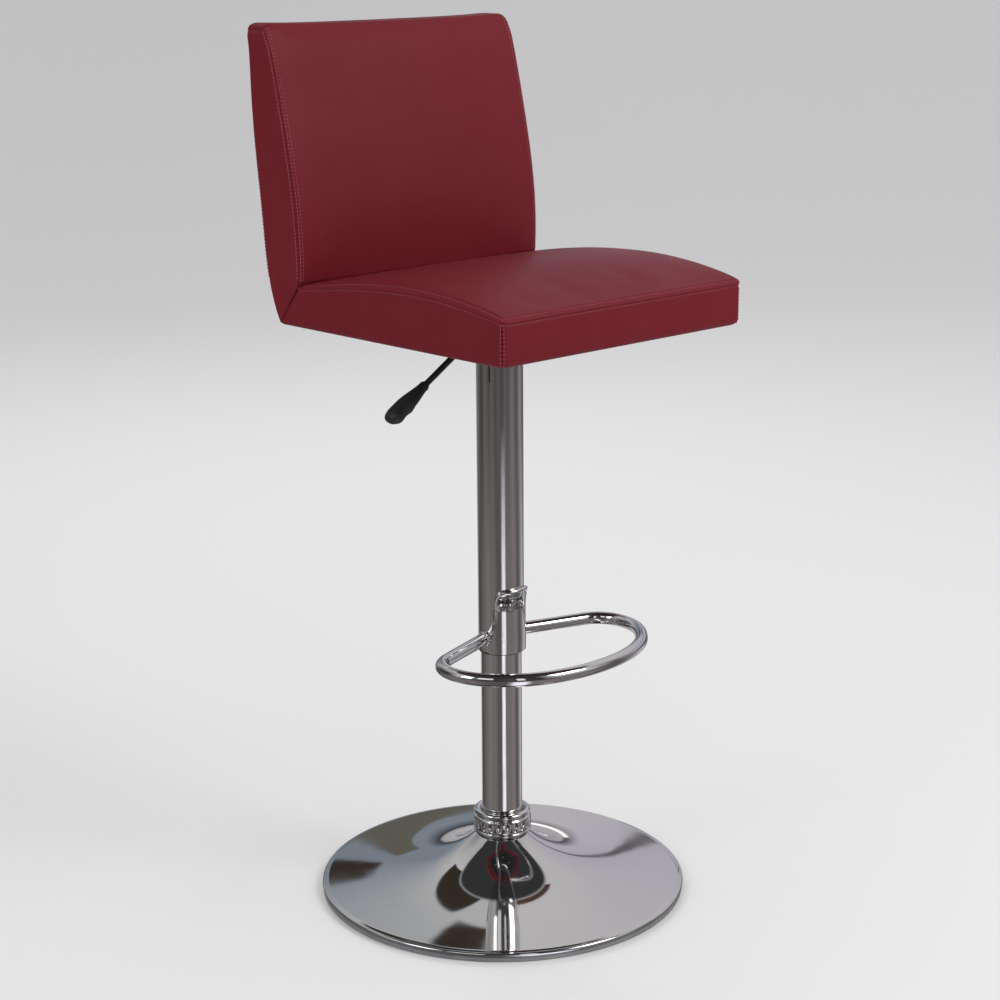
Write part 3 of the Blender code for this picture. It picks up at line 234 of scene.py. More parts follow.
class ShaderGroups:
    """Node groups shared by the finishes, each built once."""

    def __init__(self) -> None:
        """Build every group."""
        self.grain = self._grain()
        self.mottle = self._mottle()
        self.hairlines = self._hairlines()
        self.weave = self._weave()
        self.wood = self._wood()

    @staticmethod
    def _start(name: str, inputs: Iterable[GroupSocket], outputs: Iterable[str]) -> tuple[NodeKit, ...]:
        """Make an empty group.

        Args:
            name: Name of the group.
            inputs: Its input sockets, after the position vector.
            outputs: Names of its value outputs.
        """
        tree = bpy.data.node_groups.new(name, "ShaderNodeTree")
        tree.interface.new_socket("Vector", in_out="INPUT", socket_type="NodeSocketVector")
        for item in inputs:
            socket = tree.interface.new_socket(item.name, in_out="INPUT", socket_type=item.kind)
            socket.default_value = item.value
        for output in outputs:
            tree.interface.new_socket(output, in_out="OUTPUT", socket_type="NodeSocketFloat")
        kit = NodeKit(tree)
        return kit, kit.add("NodeGroupInput"), kit.add("NodeGroupOutput")

    def _grain(self) -> bpy.types.NodeTree:
        """Pebbled grain of coated cloth: rounded cells with creases between them."""
        inputs = [
            GroupSocket("Cells", "NodeSocketFloat", 900.0),
            GroupSocket("Creases", "NodeSocketFloat", 120.0),
            GroupSocket("Pores", "NodeSocketFloat", 0.3),
        ]
        kit, start, end = self._start("Pebble grain", inputs, ("Height", "Crease", "Sheen"))
        bend = kit.add("ShaderNodeTexNoise", in_Scale=160.0, in_Detail=2.0)
        kit.link(start.outputs["Vector"], bend.inputs["Vector"])
        shift = kit.add("ShaderNodeVectorMath", operation="MULTIPLY_ADD")
        kit.link(bend.outputs["Color"], shift.inputs[0])
        shift.inputs[1].default_value = (0.0012, 0.0012, 0.0012)
        kit.link(start.outputs["Vector"], shift.inputs[2])
        cells = kit.add("ShaderNodeTexVoronoi", feature="DISTANCE_TO_EDGE", in_Randomness=0.9)
        kit.link(shift.outputs[0], cells.inputs["Vector"])
        kit.link(start.outputs["Cells"], cells.inputs["Scale"])
        pebble = kit.ramp(cells.outputs["Distance"], 0.0, 0.24)
        fine = kit.add("ShaderNodeTexNoise", in_Scale=2600.0, in_Detail=2.0)
        kit.link(start.outputs["Vector"], fine.inputs["Vector"])
        broad = kit.add("ShaderNodeTexNoise", in_Detail=3.0, in_Roughness=0.55)
        kit.link(start.outputs["Vector"], broad.inputs["Vector"])
        kit.link(start.outputs["Creases"], broad.inputs["Scale"])
        pores = kit.math("MULTIPLY", kit.ramp(fine.outputs["Fac"], 0.62, 0.40), start.outputs["Pores"])
        height = kit.math("SUBTRACT", kit.math("POWER", pebble, 0.6), pores)
        height = kit.math("ADD", height, kit.math("MULTIPLY", broad.outputs["Fac"], 0.5))
        kit.link(height, end.inputs["Height"])
        kit.link(kit.math("SUBTRACT", 1.0, pebble), end.inputs["Crease"])
        kit.link(broad.outputs["Fac"], end.inputs["Sheen"])
        return kit.tree

    def _mottle(self) -> bpy.types.NodeTree:
        """Soft patches of handling, dust and polish."""
        inputs = [GroupSocket("Scale", "NodeSocketFloat", 20.0), GroupSocket("Contrast", "NodeSocketFloat", 1.0)]
        kit, start, end = self._start("Soft patches", inputs, ("Mask", "Specks"))
        broad = kit.add("ShaderNodeTexNoise", in_Detail=5.0, in_Roughness=0.6, in_Distortion=0.4)
        kit.link(start.outputs["Vector"], broad.inputs["Vector"])
        kit.link(start.outputs["Scale"], broad.inputs["Scale"])
        centred = kit.math("SUBTRACT", broad.outputs["Fac"], 0.5)
        spread = kit.math("MULTIPLY", centred, kit.math("MULTIPLY", start.outputs["Contrast"], 2.4))
        kit.link(kit.math("ADD", spread, 0.5, clamp=True), end.inputs["Mask"])
        dots = kit.add("ShaderNodeTexVoronoi", feature="F1")
        kit.link(start.outputs["Vector"], dots.inputs["Vector"])
        kit.link(kit.math("MULTIPLY", start.outputs["Scale"], 22.0), dots.inputs["Scale"])
        kit.link(kit.ramp(dots.outputs["Distance"], 0.16, 0.05), end.inputs["Specks"])
        return kit.tree

    def _hairlines(self) -> bpy.types.NodeTree:
        """Fine lines left by polishing or turning, running round the Z axis or along it."""
        inputs = [GroupSocket("Density", "NodeSocketFloat", 900.0), GroupSocket("Along", "NodeSocketFloat", 0.04)]
        kit, start, end = self._start("Polishing lines", inputs, ("Lines", "Haze"))
        split = kit.add("ShaderNodeSeparateXYZ")
        kit.link(start.outputs["Vector"], split.inputs[0])
        join = kit.add("ShaderNodeCombineXYZ")
        for index in (0, 1):
            kit.link(kit.math("MULTIPLY", split.outputs[index], start.outputs["Along"]), join.inputs[index])
        kit.link(split.outputs[2], join.inputs[2])
        lines = kit.add("ShaderNodeTexNoise", in_Detail=3.0, in_Roughness=0.7)
        kit.link(join.outputs[0], lines.inputs["Vector"])
        kit.link(start.outputs["Density"], lines.inputs["Scale"])
        kit.link(lines.outputs["Fac"], end.inputs["Lines"])
        haze = kit.add("ShaderNodeTexNoise", in_Scale=14.0, in_Detail=6.0, in_Roughness=0.62)
        kit.link(start.outputs["Vector"], haze.inputs["Vector"])
        kit.link(kit.ramp(haze.outputs["Fac"], 0.42, 0.68), end.inputs["Haze"])
        return kit.tree

    def _weave(self) -> bpy.types.NodeTree:
        """Crossed threads of a thin cloth."""
        inputs = [GroupSocket("Threads", "NodeSocketFloat", 1500.0)]
        kit, start, end = self._start("Thread weave", inputs, ("Height", "Gap"))
        split = kit.add("ShaderNodeSeparateXYZ")
        kit.link(start.outputs["Vector"], split.inputs[0])
        waves = []
        for index in (0, 1):
            turns = kit.math("MULTIPLY", split.outputs[index], start.outputs["Threads"])
            waves.append(kit.math("ABSOLUTE", kit.math("SINE", turns)))
        height = kit.math("MAXIMUM", waves[0], waves[1])
        kit.link(height, end.inputs["Height"])
        kit.link(kit.math("SUBTRACT", 1.0, kit.math("MULTIPLY", waves[0], waves[1])), end.inputs["Gap"])
        return kit.tree

    def _wood(self) -> bpy.types.NodeTree:
        """Long grain of a sanded veneer."""
        inputs = [GroupSocket("Length", "NodeSocketFloat", 0.08)]
        kit, start, end = self._start("Veneer grain", inputs, ("Grain", "Ply"))
        split = kit.add("ShaderNodeSeparateXYZ")
        kit.link(start.outputs["Vector"], split.inputs[0])
        join = kit.add("ShaderNodeCombineXYZ")
        kit.link(kit.math("MULTIPLY", split.outputs[0], start.outputs["Length"]), join.inputs[0])
        kit.link(split.outputs[1], join.inputs[1])
        kit.link(split.outputs[2], join.inputs[2])
        grain = kit.add("ShaderNodeTexNoise", in_Scale=320.0, in_Detail=5.0, in_Roughness=0.7, in_Distortion=0.8)
        kit.link(join.outputs[0], grain.inputs["Vector"])
        kit.link(grain.outputs["Fac"], end.inputs["Grain"])
        layers = kit.math("SINE", kit.math("MULTIPLY", split.outputs[2], 2600.0))
        kit.link(kit.ramp(layers, -0.3, 0.3), end.inputs["Ply"])
        return kit.tree


# ------------------------------------------------------------------ finishes


@dataclass(frozen=True)
class Finish:
    """Common values of a surface: colour, gloss and how strongly its relief shows."""

    name: str
    slot: Slot
    colour: tuple[float, float, float]
    roughness: float
    metallic: float = 0.0
    relief: float = 0.1
    step: float = 0.0002

    def shader(self) -> tuple[bpy.types.Material, NodeKit, bpy.types.Node, bpy.types.NodeSocket]:
        """Make an empty material with its constants set.

        Returns:
            The material, its kit, its shader and the Object coordinates.
        """
        material = bpy.data.materials.new(self.name)
        material.use_nodes = True
        kit = NodeKit(material.node_tree)
        shader = material.node_tree.nodes["Principled BSDF"]
        shader.inputs["Base Color"].default_value = (*self.colour, 1.0)
        shader.inputs["Roughness"].default_value = self.roughness
        shader.inputs["Metallic"].default_value = self.metallic
        place = kit.add("ShaderNodeTexCoord").outputs["Object"]
        return material, kit, shader, place

    def group(
        self, kit: NodeKit, tree: bpy.types.NodeTree, place: bpy.types.NodeSocket, **values: float
    ) -> bpy.types.Node:
        """Place a shared group in the material.

        Args:
            kit: The material's kit.
            tree: The group.
            place: Coordinates it reads.
            **values: Its named inputs.

        Returns:
            The group node.
        """
        node = kit.add("ShaderNodeGroup", node_tree=tree)
        kit.link(place, node.inputs["Vector"])
        for key, value in values.items():
            node.inputs[key.title()].default_value = value
        return node

    def bump(
        self,
        kit: NodeKit,
        shader: bpy.types.Node,
        height: bpy.types.NodeSocket,
        strength: float | None = None,
        under: bpy.types.NodeSocket | None = None,
    ) -> bpy.types.NodeSocket:
        """Feed a relief to the shader.

        Args:
            kit: The material's kit.
            shader: Its Principled shader.
            height: Height of the relief.
            strength: How strongly it shows, or the finish's own value.
            under: Normal of a broader relief below it.

        Returns:
            The bump's normal.
        """
        node = kit.add("ShaderNodeBump")
        node.inputs["Strength"].default_value = self.relief if strength is None else strength
        node.inputs["Distance"].default_value = self.step
        kit.link(height, node.inputs["Height"])
        if under is not None:
            kit.link(under, node.inputs["Normal"])
        kit.link(node.outputs["Normal"], shader.inputs["Normal"])
        return node.outputs["Normal"]

    def build(self, groups: ShaderGroups) -> bpy.types.Material:
        """Build the material. Each kind of finish has its own."""
        raise NotImplementedError


@dataclass(frozen=True)
class Polished(Finish):
    """Bright plated or ground metal with faint lines, haze and handling marks."""

    haze: float = 0.05
    density: float = 900.0
    tint: tuple[float, float, float] = (0.5, 0.5, 0.52)

    def build(self, groups: ShaderGroups) -> bpy.types.Material:
        """Build the metal.

        Args:
            groups: Shared shader groups.

        Returns:
            The material.
        """
        material, kit, shader, place = self.shader()
        lines = self.group(kit, groups.hairlines, place, density=self.density)
        patches = self.group(kit, groups.mottle, place, scale=16.0, contrast=1.0)
        rough = kit.math("MULTIPLY_ADD", lines.outputs["Haze"], self.haze, self.roughness)
        rough = kit.math("MULTIPLY_ADD", patches.outputs["Specks"], self.haze * 1.6, rough)
        rough = kit.math("MULTIPLY_ADD", lines.outputs["Lines"], self.haze * 0.5, rough)
        kit.link(rough, shader.inputs["Roughness"])
        shade = kit.math("MULTIPLY", patches.outputs["Mask"], 0.35)
        kit.link(kit.mix(shade, self.colour, self.tint), shader.inputs["Base Color"])
        self.bump(kit, shader, lines.outputs["Lines"])
        return material


@dataclass(frozen=True)
class CoatedCloth(Finish):
    """Grained vinyl with painted shade darkening the creases of its grain, a worn sheen and tone that drifts over the
    panel.
    """

    light: tuple[float, float, float] = (0.2, 0.05, 0.06)
    # dark: colour of the painted shade laid into the grain's creases
    dark: tuple[float, float, float] = (0.1, 0.02, 0.02)
    cells: float = 900.0

    def build(self, groups: ShaderGroups) -> bpy.types.Material:
        """Build the vinyl.

        Args:
            groups: Shared shader groups.

        Returns:
            The material.
        """
        material, kit, shader, place = self.shader()
        grain = self.group(kit, groups.grain, place, cells=self.cells, creases=70.0, pores=0.25)
        patches = self.group(kit, groups.mottle, place, scale=7.0, contrast=0.9)
        small = self.group(kit, groups.mottle, place, scale=60.0, contrast=0.7)
        tone = kit.mix(kit.math("MULTIPLY", patches.outputs["Mask"], 0.55), self.colour, self.light)
        # painted shade: the grain's creases are darkened toward the dark colour
        tone = kit.mix(kit.math("MULTIPLY", grain.outputs["Crease"], 0.42), tone, self.dark)
        tone = kit.mix(kit.math("MULTIPLY", small.outputs["Mask"], 0.12), tone, self.light)
        kit.link(tone, shader.inputs["Base Color"])
        rough = kit.math("MULTIPLY_ADD", grain.outputs["Crease"], 0.16, self.roughness)
        rough = kit.math("MULTIPLY_ADD", patches.outputs["Mask"], -0.07, rough)
        kit.link(rough, shader.inputs["Roughness"])
        shader.inputs["Specular IOR Level"].default_value = 0.15
        shader.inputs["Sheen Weight"].default_value = 0.01
        shader.inputs["Sheen Roughness"].default_value = 0.45
        shader.inputs["Sheen Tint"].default_value = (1.0, 0.72, 0.74, 1.0)
        broad = self.bump(kit, shader, grain.outputs["Sheen"], 0.10)
        self.bump(kit, shader, grain.outputs["Height"], None, broad)
        return material


@dataclass(frozen=True)
class Moulded(Finish):
    """Moulded plastic, rubber or sprayed paint with a fine texture and dusty patches."""

    worn: tuple[float, float, float] = (0.05, 0.05, 0.05)
    texture: float = 1800.0
    patch: float = 24.0

    def build(self, groups: ShaderGroups) -> bpy.types.Material:
        """Build the moulded surface.

        Args:
            groups: Shared shader groups.

        Returns:
            The material.
        """
        material, kit, shader, place = self.shader()
        patches = self.group(kit, groups.mottle, place, scale=self.patch, contrast=1.1)
        grain = self.group(kit, groups.grain, place, cells=self.texture, creases=90.0, pores=0.4)
        tone = kit.mix(kit.math("MULTIPLY", patches.outputs["Mask"], 0.5), self.colour, self.worn)
        tone = kit.mix(kit.math("MULTIPLY", patches.outputs["Specks"], 0.25), tone, self.worn)
        kit.link(tone, shader.inputs["Base Color"])
        rough = kit.math("MULTIPLY_ADD", patches.outputs["Mask"], 0.14, self.roughness)
        kit.link(rough, shader.inputs["Roughness"])
        self.bump(kit, shader, grain.outputs["Height"])
        return material


@dataclass(frozen=True)
class Timber(Finish):
    """Sanded plywood with grain on its faces and plies on its edges."""

    dark: tuple[float, float, float] = (0.35, 0.22, 0.12)

    def build(self, groups: ShaderGroups) -> bpy.types.Material:
        """Build the plywood.

        Args:
            groups: Shared shader groups.

        Returns:
            The material.
        """
        material, kit, shader, place = self.shader()
        wood = self.group(kit, groups.wood, place, length=0.08)
        patches = self.group(kit, groups.mottle, place, scale=9.0, contrast=0.8)
        tone = kit.mix(kit.ramp(wood.outputs["Grain"], 0.42, 0.66), self.colour, self.dark)
        tone = kit.mix(kit.math("MULTIPLY", wood.outputs["Ply"], 0.12), tone, self.dark)
        kit.link(tone, shader.inputs["Base Color"])
        rough = kit.math("MULTIPLY_ADD", patches.outputs["Mask"], 0.12, self.roughness)
        kit.link(rough, shader.inputs["Roughness"])
        self.bump(kit, shader, wood.outputs["Grain"])
        return material


@dataclass(frozen=True)
class Cloth(Finish):
    """Thin cloth or thread with a weave and lint."""

    lint: tuple[float, float, float] = (0.05, 0.05, 0.05)
    threads: float = 1500.0
    sheen: float = 0.25

    def build(self, groups: ShaderGroups) -> bpy.types.Material:
        """Build the cloth.

        Args:
            groups: Shared shader groups.

        Returns:
            The material.
        """
        material, kit, shader, place = self.shader()
        weave = self.group(kit, groups.weave, place, threads=self.threads)
        patches = self.group(kit, groups.mottle, place, scale=26.0, contrast=1.2)
        tone = kit.mix(kit.math("MULTIPLY", patches.outputs["Mask"], 0.6), self.colour, self.lint)
        kit.link(tone, shader.inputs["Base Color"])
        rough = kit.math("MULTIPLY_ADD", weave.outputs["Gap"], 0.08, self.roughness)
        kit.link(rough, shader.inputs["Roughness"])
        shader.inputs["Sheen Weight"].default_value = self.sheen
        self.bump(kit, shader, weave.outputs["Height"])
        return material


FINISHES: tuple[Finish, ...] = (
    Polished("chrome", Slot.CHROME, (0.70, 0.69, 0.69), 0.035, 1.0, 0.015, 0.0001, 0.035, 700.0, (0.60, 0.60, 0.62)),
    Polished("satin steel", Slot.STEEL, (0.52, 0.52, 0.53), 0.24, 1.0, 0.10, 0.0001, 0.16, 1400.0, (0.40, 0.40, 0.42)),
    Polished("zinc plate", Slot.ZINC, (0.64, 0.64, 0.60), 0.26, 1.0, 0.08, 0.0001, 0.20, 900.0, (0.50, 0.52, 0.46)),
    Polished("brass", Slot.BRASS, (0.72, 0.52, 0.24), 0.22, 1.0, 0.08, 0.0001, 0.14, 1000.0, (0.55, 0.38, 0.16)),
    Moulded("black paint", Slot.BLACK_PAINT, (0.016, 0.016, 0.018), 0.30, 0.0, 0.10, 0.0002, (0.04, 0.04, 0.042), 1400.0),
    Moulded("black plastic", Slot.BLACK_PLASTIC, (0.012, 0.012, 0.013), 0.36, 0.0, 0.20, 0.0002, (0.035, 0.034, 0.036)),
    Moulded("grey rubber", Slot.GREY_RUBBER, (0.20, 0.20, 0.215), 0.46, 0.0, 0.18, 0.0002, (0.30, 0.30, 0.31), 1200.0),
    Moulded("white plastic", Slot.WHITE_PLASTIC, (0.78, 0.78, 0.74), 0.40, 0.0, 0.10, 0.0002, (0.62, 0.61, 0.56)),
    Timber("plywood", Slot.PLYWOOD, (0.60, 0.44, 0.28), 0.58, 0.0, 0.20, 0.0003),
    Moulded("foam", Slot.FOAM, (0.82, 0.76, 0.58), 0.90, 0.0, 0.45, 0.0006, (0.72, 0.62, 0.40), 700.0),
    CoatedCloth(
        "burgundy vinyl",
        Slot.VINYL,
        (0.174, 0.0092, 0.0165),
        0.42,
        0.0,
        0.28,
        0.00026,
        (0.205, 0.0170, 0.0280),
        # dark: painted shade colour for the grain's creases
        (0.085, 0.0050, 0.0080),
        950.0,
    ),
    Cloth("black underlining", Slot.BLACK_FABRIC, (0.012, 0.012, 0.013), 0.86, 0.0, 0.5, 0.0003, (0.035, 0.035, 0.036)),
)

THREAD = Cloth("burgundy thread", Slot.VINYL, (0.33, 0.060, 0.105), 0.6, 0.0, 0.4, 0.0002, (0.44, 0.12, 0.18), 9000.0, 0.02)


class Workshop:
    """Holds the materials and puts pieces into the scene."""

    def __init__(self, frame: dict) -> None:
        """Build every finish.
        """
        self.frame = frame
        self.groups = ShaderGroups()
        self.materials = {finish.slot: finish.build(self.groups) for finish in FINISHES}
        self.thread = THREAD.build(self.groups)
        self.names = {item["node"]: Slot(item["material_slot"]) for item in frame["record"]["subparts"]}

    def dress_nodes(self) -> None:
        """Give every carried-over node its finish."""
        for name, item in self.frame["nodes"].items():
            material = self.materials[self.names[name]]
            if not item.material_slots:
                item.data.materials.append(material)
            for holder in item.material_slots:
                holder.material = material
            item.data.polygons.foreach_set("use_smooth", [True] * len(item.data.polygons))

    def mesh_object(
        self, name: str, points: Sequence[Sequence[float]], faces: Sequence[Sequence[int]], slot: Slot
    ) -> bpy.types.Object:
        """Make a mesh piece with its place in its mesh.

        Args:
            name: Name of the piece.
            points: Vertices in metres.
            faces: Corner indices of each face.
            slot: Its finish.

        Returns:
            The new object.
        """
        mesh = bpy.data.meshes.new(name)
        mesh.from_pydata([tuple(map(float, point)) for point in points], [], [list(face) for face in faces])
        shape = bmesh.new()
        shape.from_mesh(mesh)
        bmesh.ops.recalc_face_normals(shape, faces=shape.faces)
        shape.to_mesh(mesh)
        shape.free()
        mesh.shade_smooth()
        mesh.materials.append(self.materials[slot])
        item = bpy.data.objects.new(name, mesh)
        bpy.context.collection.objects.link(item)
        return item

    def keep(
        self, item: bpy.types.Object, body: Body, slot: Slot, replaces: Sequence[str] = ()
    ) -> bpy.types.Object:
        """Attach a finished piece to its body and name what it stands for.

        Args:
            item: The piece.
            body: Body it rides on.
            slot: Its finish in the record; not used.
            replaces: CAD nodes it stands for.

        Returns:
            The same piece.
        """
        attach(item, body.value)
        if replaces:
            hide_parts(*replaces)
        faces = len(item.data.polygons)
        LOG.info("%s rides on %s, %d faces, stands for %s", item.name, body.value, faces, ", ".join(replaces) or "-")
        return item

    @staticmethod
    def settle(item: bpy.types.Object, name: str | None = None) -> bpy.types.Object:
        """Turn an object with modifiers into a plain mesh object.

        Args:
            item: Object whose modifiers are evaluated.
            name: Name of the result, or the object's own.

        Returns:
            The plain object, which takes the old one's place.
        """
        graph = bpy.context.evaluated_depsgraph_get()
        mesh = bpy.data.meshes.new_from_object(item.evaluated_get(graph), depsgraph=graph)
        label = name or item.name
        old = item.data
        bpy.data.objects.remove(item, do_unlink=True)
        if old.users == 0:
            (bpy.data.curves if isinstance(old, bpy.types.Curve) else bpy.data.meshes).remove(old)
        mesh.name = label
        made = bpy.data.objects.new(label, mesh)
        bpy.context.collection.objects.link(made)
        return made


# ------------------------------------------------------------------ shape building


def lathe(
    profile: Sequence[tuple[float, float]], segments: int, swell: Callable[[float, float, float], float] | None = None
) -> tuple[list[Point], list[list[int]]]:
    """Turn a closed outline about the Z axis.

    Args:
        profile: Radius and height of each corner, in order.
        segments: Number of steps round.
        swell: Extra radius at a radius, height and angle.

    Returns:
        Points and faces.
    """
    points: list[Point] = []
    rings: list[list[int]] = []
    for radius, height in profile:
        ring = []
        for step in range(1 if radius < 1e-7 else segments):
            angle = 2.0 * math.pi * step / segments
            reach = radius + (swell(radius, height, angle) if swell else 0.0)
            ring.append(len(points))
            points.append((reach * math.cos(angle), reach * math.sin(angle), height))
        rings.append(ring)
    faces = []
    for ring, other in zip(rings, rings[1:] + rings[:1]):
        if len(ring) == 1 and len(other) == 1:
            continue
        for step in range(segments):
            after = (step + 1) % segments
            quad = [ring[step % len(ring)], ring[after % len(ring)]]
            quad += [other[after % len(other)], other[step % len(other)]]
            faces.append(list(dict.fromkeys(quad)))
    return points, faces


def curve_through(points: Sequence[Sequence[float]], steps: int) -> list[Vector]:
    """Smooth line through given points.

    Args:
        points: Points it passes.
        steps: Pieces between each two of them.

    Returns:
        Points of the smooth line.
    """
    path = [Vector(point) for point in points]
    result = []
    for index in range(len(path) - 1):
        first, start = path[max(index - 1, 0)], path[index]
        end, last = path[index + 1], path[min(index + 2, len(path) - 1)]
        for step in range(steps):
            t = step / steps
            bend = 2.0 * start + (end - first) * t
            bend += (2.0 * first - 5.0 * start + 4.0 * end - last) * t * t
            bend += (3.0 * start - first - 3.0 * end + last) * t * t * t
            result.append(bend * 0.5)
    result.append(path[-1])
    return result


def sweep(
    path: Sequence[Vector],
    sides: int,
    section: Callable[[float, float], tuple[float, float]],
) -> tuple[list[Point], list[list[int]]]:
    """Closed bar along a path.

    Args:
        path: Centre line.
        sides: Corners of its section.
        section: Half height and half width at a share of the length and an angle.

    Returns:
        Points and faces.
    """
    points: list[Point] = []
    normal = None
    for index, centre in enumerate(path):
        tangent = (path[min(index + 1, len(path) - 1)] - path[max(index - 1, 0)]).normalized()
        if normal is None:
            helper = Vector((0.0, 0.0, 1.0)) if abs(tangent.z) < 0.9 else Vector((0.0, 1.0, 0.0))
            normal = helper
        normal = (normal - tangent * normal.dot(tangent)).normalized()
        across = tangent.cross(normal)
        for step in range(sides):
            angle = 2.0 * math.pi * step / sides
            rise, side = section(index / (len(path) - 1), angle)
            points.append(tuple(centre + normal * rise * math.cos(angle) + across * side * math.sin(angle)))
    faces = []
    for index in range(len(path) - 1):
        for step in range(sides):
            after = (step + 1) % sides
            low, high = index * sides, (index + 1) * sides
            faces.append([low + step, low + after, high + after, high + step])
    faces.append(list(range(sides)))
    faces.append([(len(path) - 1) * sides + step for step in range(sides)])
    return points, faces


# ------------------------------------------------------------------ geometry node trees


@dataclass(frozen=True)
class TreeInput:
    """One named input of a geometry tree."""

    name: str
    kind: str
    value: object = None


class GeometryTools:
    """Geometry node trees for what repeats or follows a line."""

    def __init__(self, workshop: Workshop) -> None:
        """Build the trees.

        Args:
            workshop: Holds the finishes.
        """
        self.workshop = workshop
        self.stitches = self._stitches()
        self.pipe = self._pipe()
        self.dimples = self._dimples()
        self.staples = self._staples()

    @staticmethod
    def _start(name: str, inputs: Iterable[TreeInput]) -> tuple[NodeKit, bpy.types.Node, bpy.types.Node]:
        """Make an empty tree.

        Args:
            name: Name of the tree.
            inputs: Its inputs after the geometry.
        """
        tree = bpy.data.node_groups.new(name, "GeometryNodeTree")
        tree.interface.new_socket("Geometry", in_out="INPUT", socket_type="NodeSocketGeometry")
        for item in inputs:
            socket = tree.interface.new_socket(item.name, in_out="INPUT", socket_type=item.kind)
            if item.value is not None:
                socket.default_value = item.value
        tree.interface.new_socket("Geometry", in_out="OUTPUT", socket_type="NodeSocketGeometry")
        kit = NodeKit(tree)
        return kit, kit.add("NodeGroupInput"), kit.add("NodeGroupOutput")

    @staticmethod
    def _close(
        kit: NodeKit, start: bpy.types.Node, end: bpy.types.Node, made: bpy.types.NodeSocket, smooth: bool = True
    ) -> bpy.types.NodeTree:
        """End a tree in Realize Instances, smooth shading and Set Material.

        Args:
            kit: The tree's kit.
            start: Its input node, with an input named Material.
            end: Its output node.
            made: Geometry to output.
            smooth: Whether faces are shaded smooth.

        Returns:
            The tree.
        """
        real = kit.add("GeometryNodeRealizeInstances")
        kit.link(made, real.inputs[0])
        shade = kit.add("GeometryNodeSetShadeSmooth")
        shade.inputs["Shade Smooth"].default_value = smooth
        kit.link(real.outputs[0], shade.inputs[0])
        paint = kit.add("GeometryNodeSetMaterial")
        kit.link(shade.outputs[0], paint.inputs[0])
        kit.link(start.outputs["Material"], paint.inputs["Material"])
        kit.link(paint.outputs[0], end.inputs[0])
        return kit.tree

    def _along(self, kit: NodeKit, start: bpy.types.Node, bead: bpy.types.NodeSocket) -> bpy.types.NodeSocket:
        """Instance a bead along the edges of the input at its pitch, turned along the line.

        Args:
            kit: The tree's kit.
            start: Its input node, with an input named Pitch.
            bead: Mesh to repeat, long in Z.

        Returns:
            The instances.
        """
        line = kit.add("GeometryNodeMeshToCurve")
        kit.link(start.outputs["Geometry"], line.inputs["Mesh"])
        spaced = kit.add("GeometryNodeResampleCurve")
        spaced.mode = "LENGTH"
        kit.link(line.outputs[0], spaced.inputs["Curve"])
        kit.link(start.outputs["Pitch"], spaced.inputs["Length"])
        tangent = kit.add("GeometryNodeInputTangent")
        turn = kit.add("FunctionNodeAlignRotationToVector", axis="Z")
        kit.link(tangent.outputs[0], turn.inputs["Vector"])
        copies = kit.add("GeometryNodeInstanceOnPoints")
        kit.link(spaced.outputs[0], copies.inputs["Points"])
        kit.link(bead, copies.inputs["Instance"])
        kit.link(turn.outputs[0], copies.inputs["Rotation"])
        return copies.outputs[0]

    def _stitches(self) -> bpy.types.NodeTree:
        """Short threads, one after another, along the edges of a line mesh."""
        kit, start, end = self._start(
            "Stitch row",
            [
                TreeInput("Pitch", "NodeSocketFloat", 0.0038),
                TreeInput("Length", "NodeSocketFloat", 0.0027),
                TreeInput("Thickness", "NodeSocketFloat", 0.0007),
                TreeInput("Material", "NodeSocketMaterial"),
            ],
        )
        ball = kit.add("GeometryNodeMeshUVSphere", in_Segments=6, in_Rings=5, in_Radius=0.5)
        size = kit.add("ShaderNodeCombineXYZ")
        kit.link(start.outputs["Thickness"], size.inputs[0])
        kit.link(start.outputs["Thickness"], size.inputs[1])
        kit.link(start.outputs["Length"], size.inputs[2])
        thread = kit.add("GeometryNodeTransform")
        kit.link(ball.outputs[0], thread.inputs[0])
        kit.link(size.outputs[0], thread.inputs["Scale"])
        return self._close(kit, start, end, self._along(kit, start, thread.outputs[0]))

    def _pipe(self) -> bpy.types.NodeTree:
        """Round tube along the edges of a line mesh, with closed ends."""
        kit, start, end = self._start(
            "Bent tube",
            [
                TreeInput("Radius", "NodeSocketFloat", 0.008),
                TreeInput("Sides", "NodeSocketInt", 28),
                TreeInput("Material", "NodeSocketMaterial"),
            ],
        )
        line = kit.add("GeometryNodeMeshToCurve")
        kit.link(start.outputs["Geometry"], line.inputs["Mesh"])
        ring = kit.add("GeometryNodeCurvePrimitiveCircle")
        kit.link(start.outputs["Sides"], ring.inputs["Resolution"])
        kit.link(start.outputs["Radius"], ring.inputs["Radius"])
        tube = kit.add("GeometryNodeCurveToMesh")
        tube.inputs["Fill Caps"].default_value = True
        kit.link(line.outputs[0], tube.inputs["Curve"])
        kit.link(ring.outputs[0], tube.inputs["Profile Curve"])
        weld = kit.add("GeometryNodeMergeByDistance", in_Distance=0.00001)
        kit.link(tube.outputs[0], weld.inputs[0])
        return self._close(kit, start, end, weld.outputs[0])

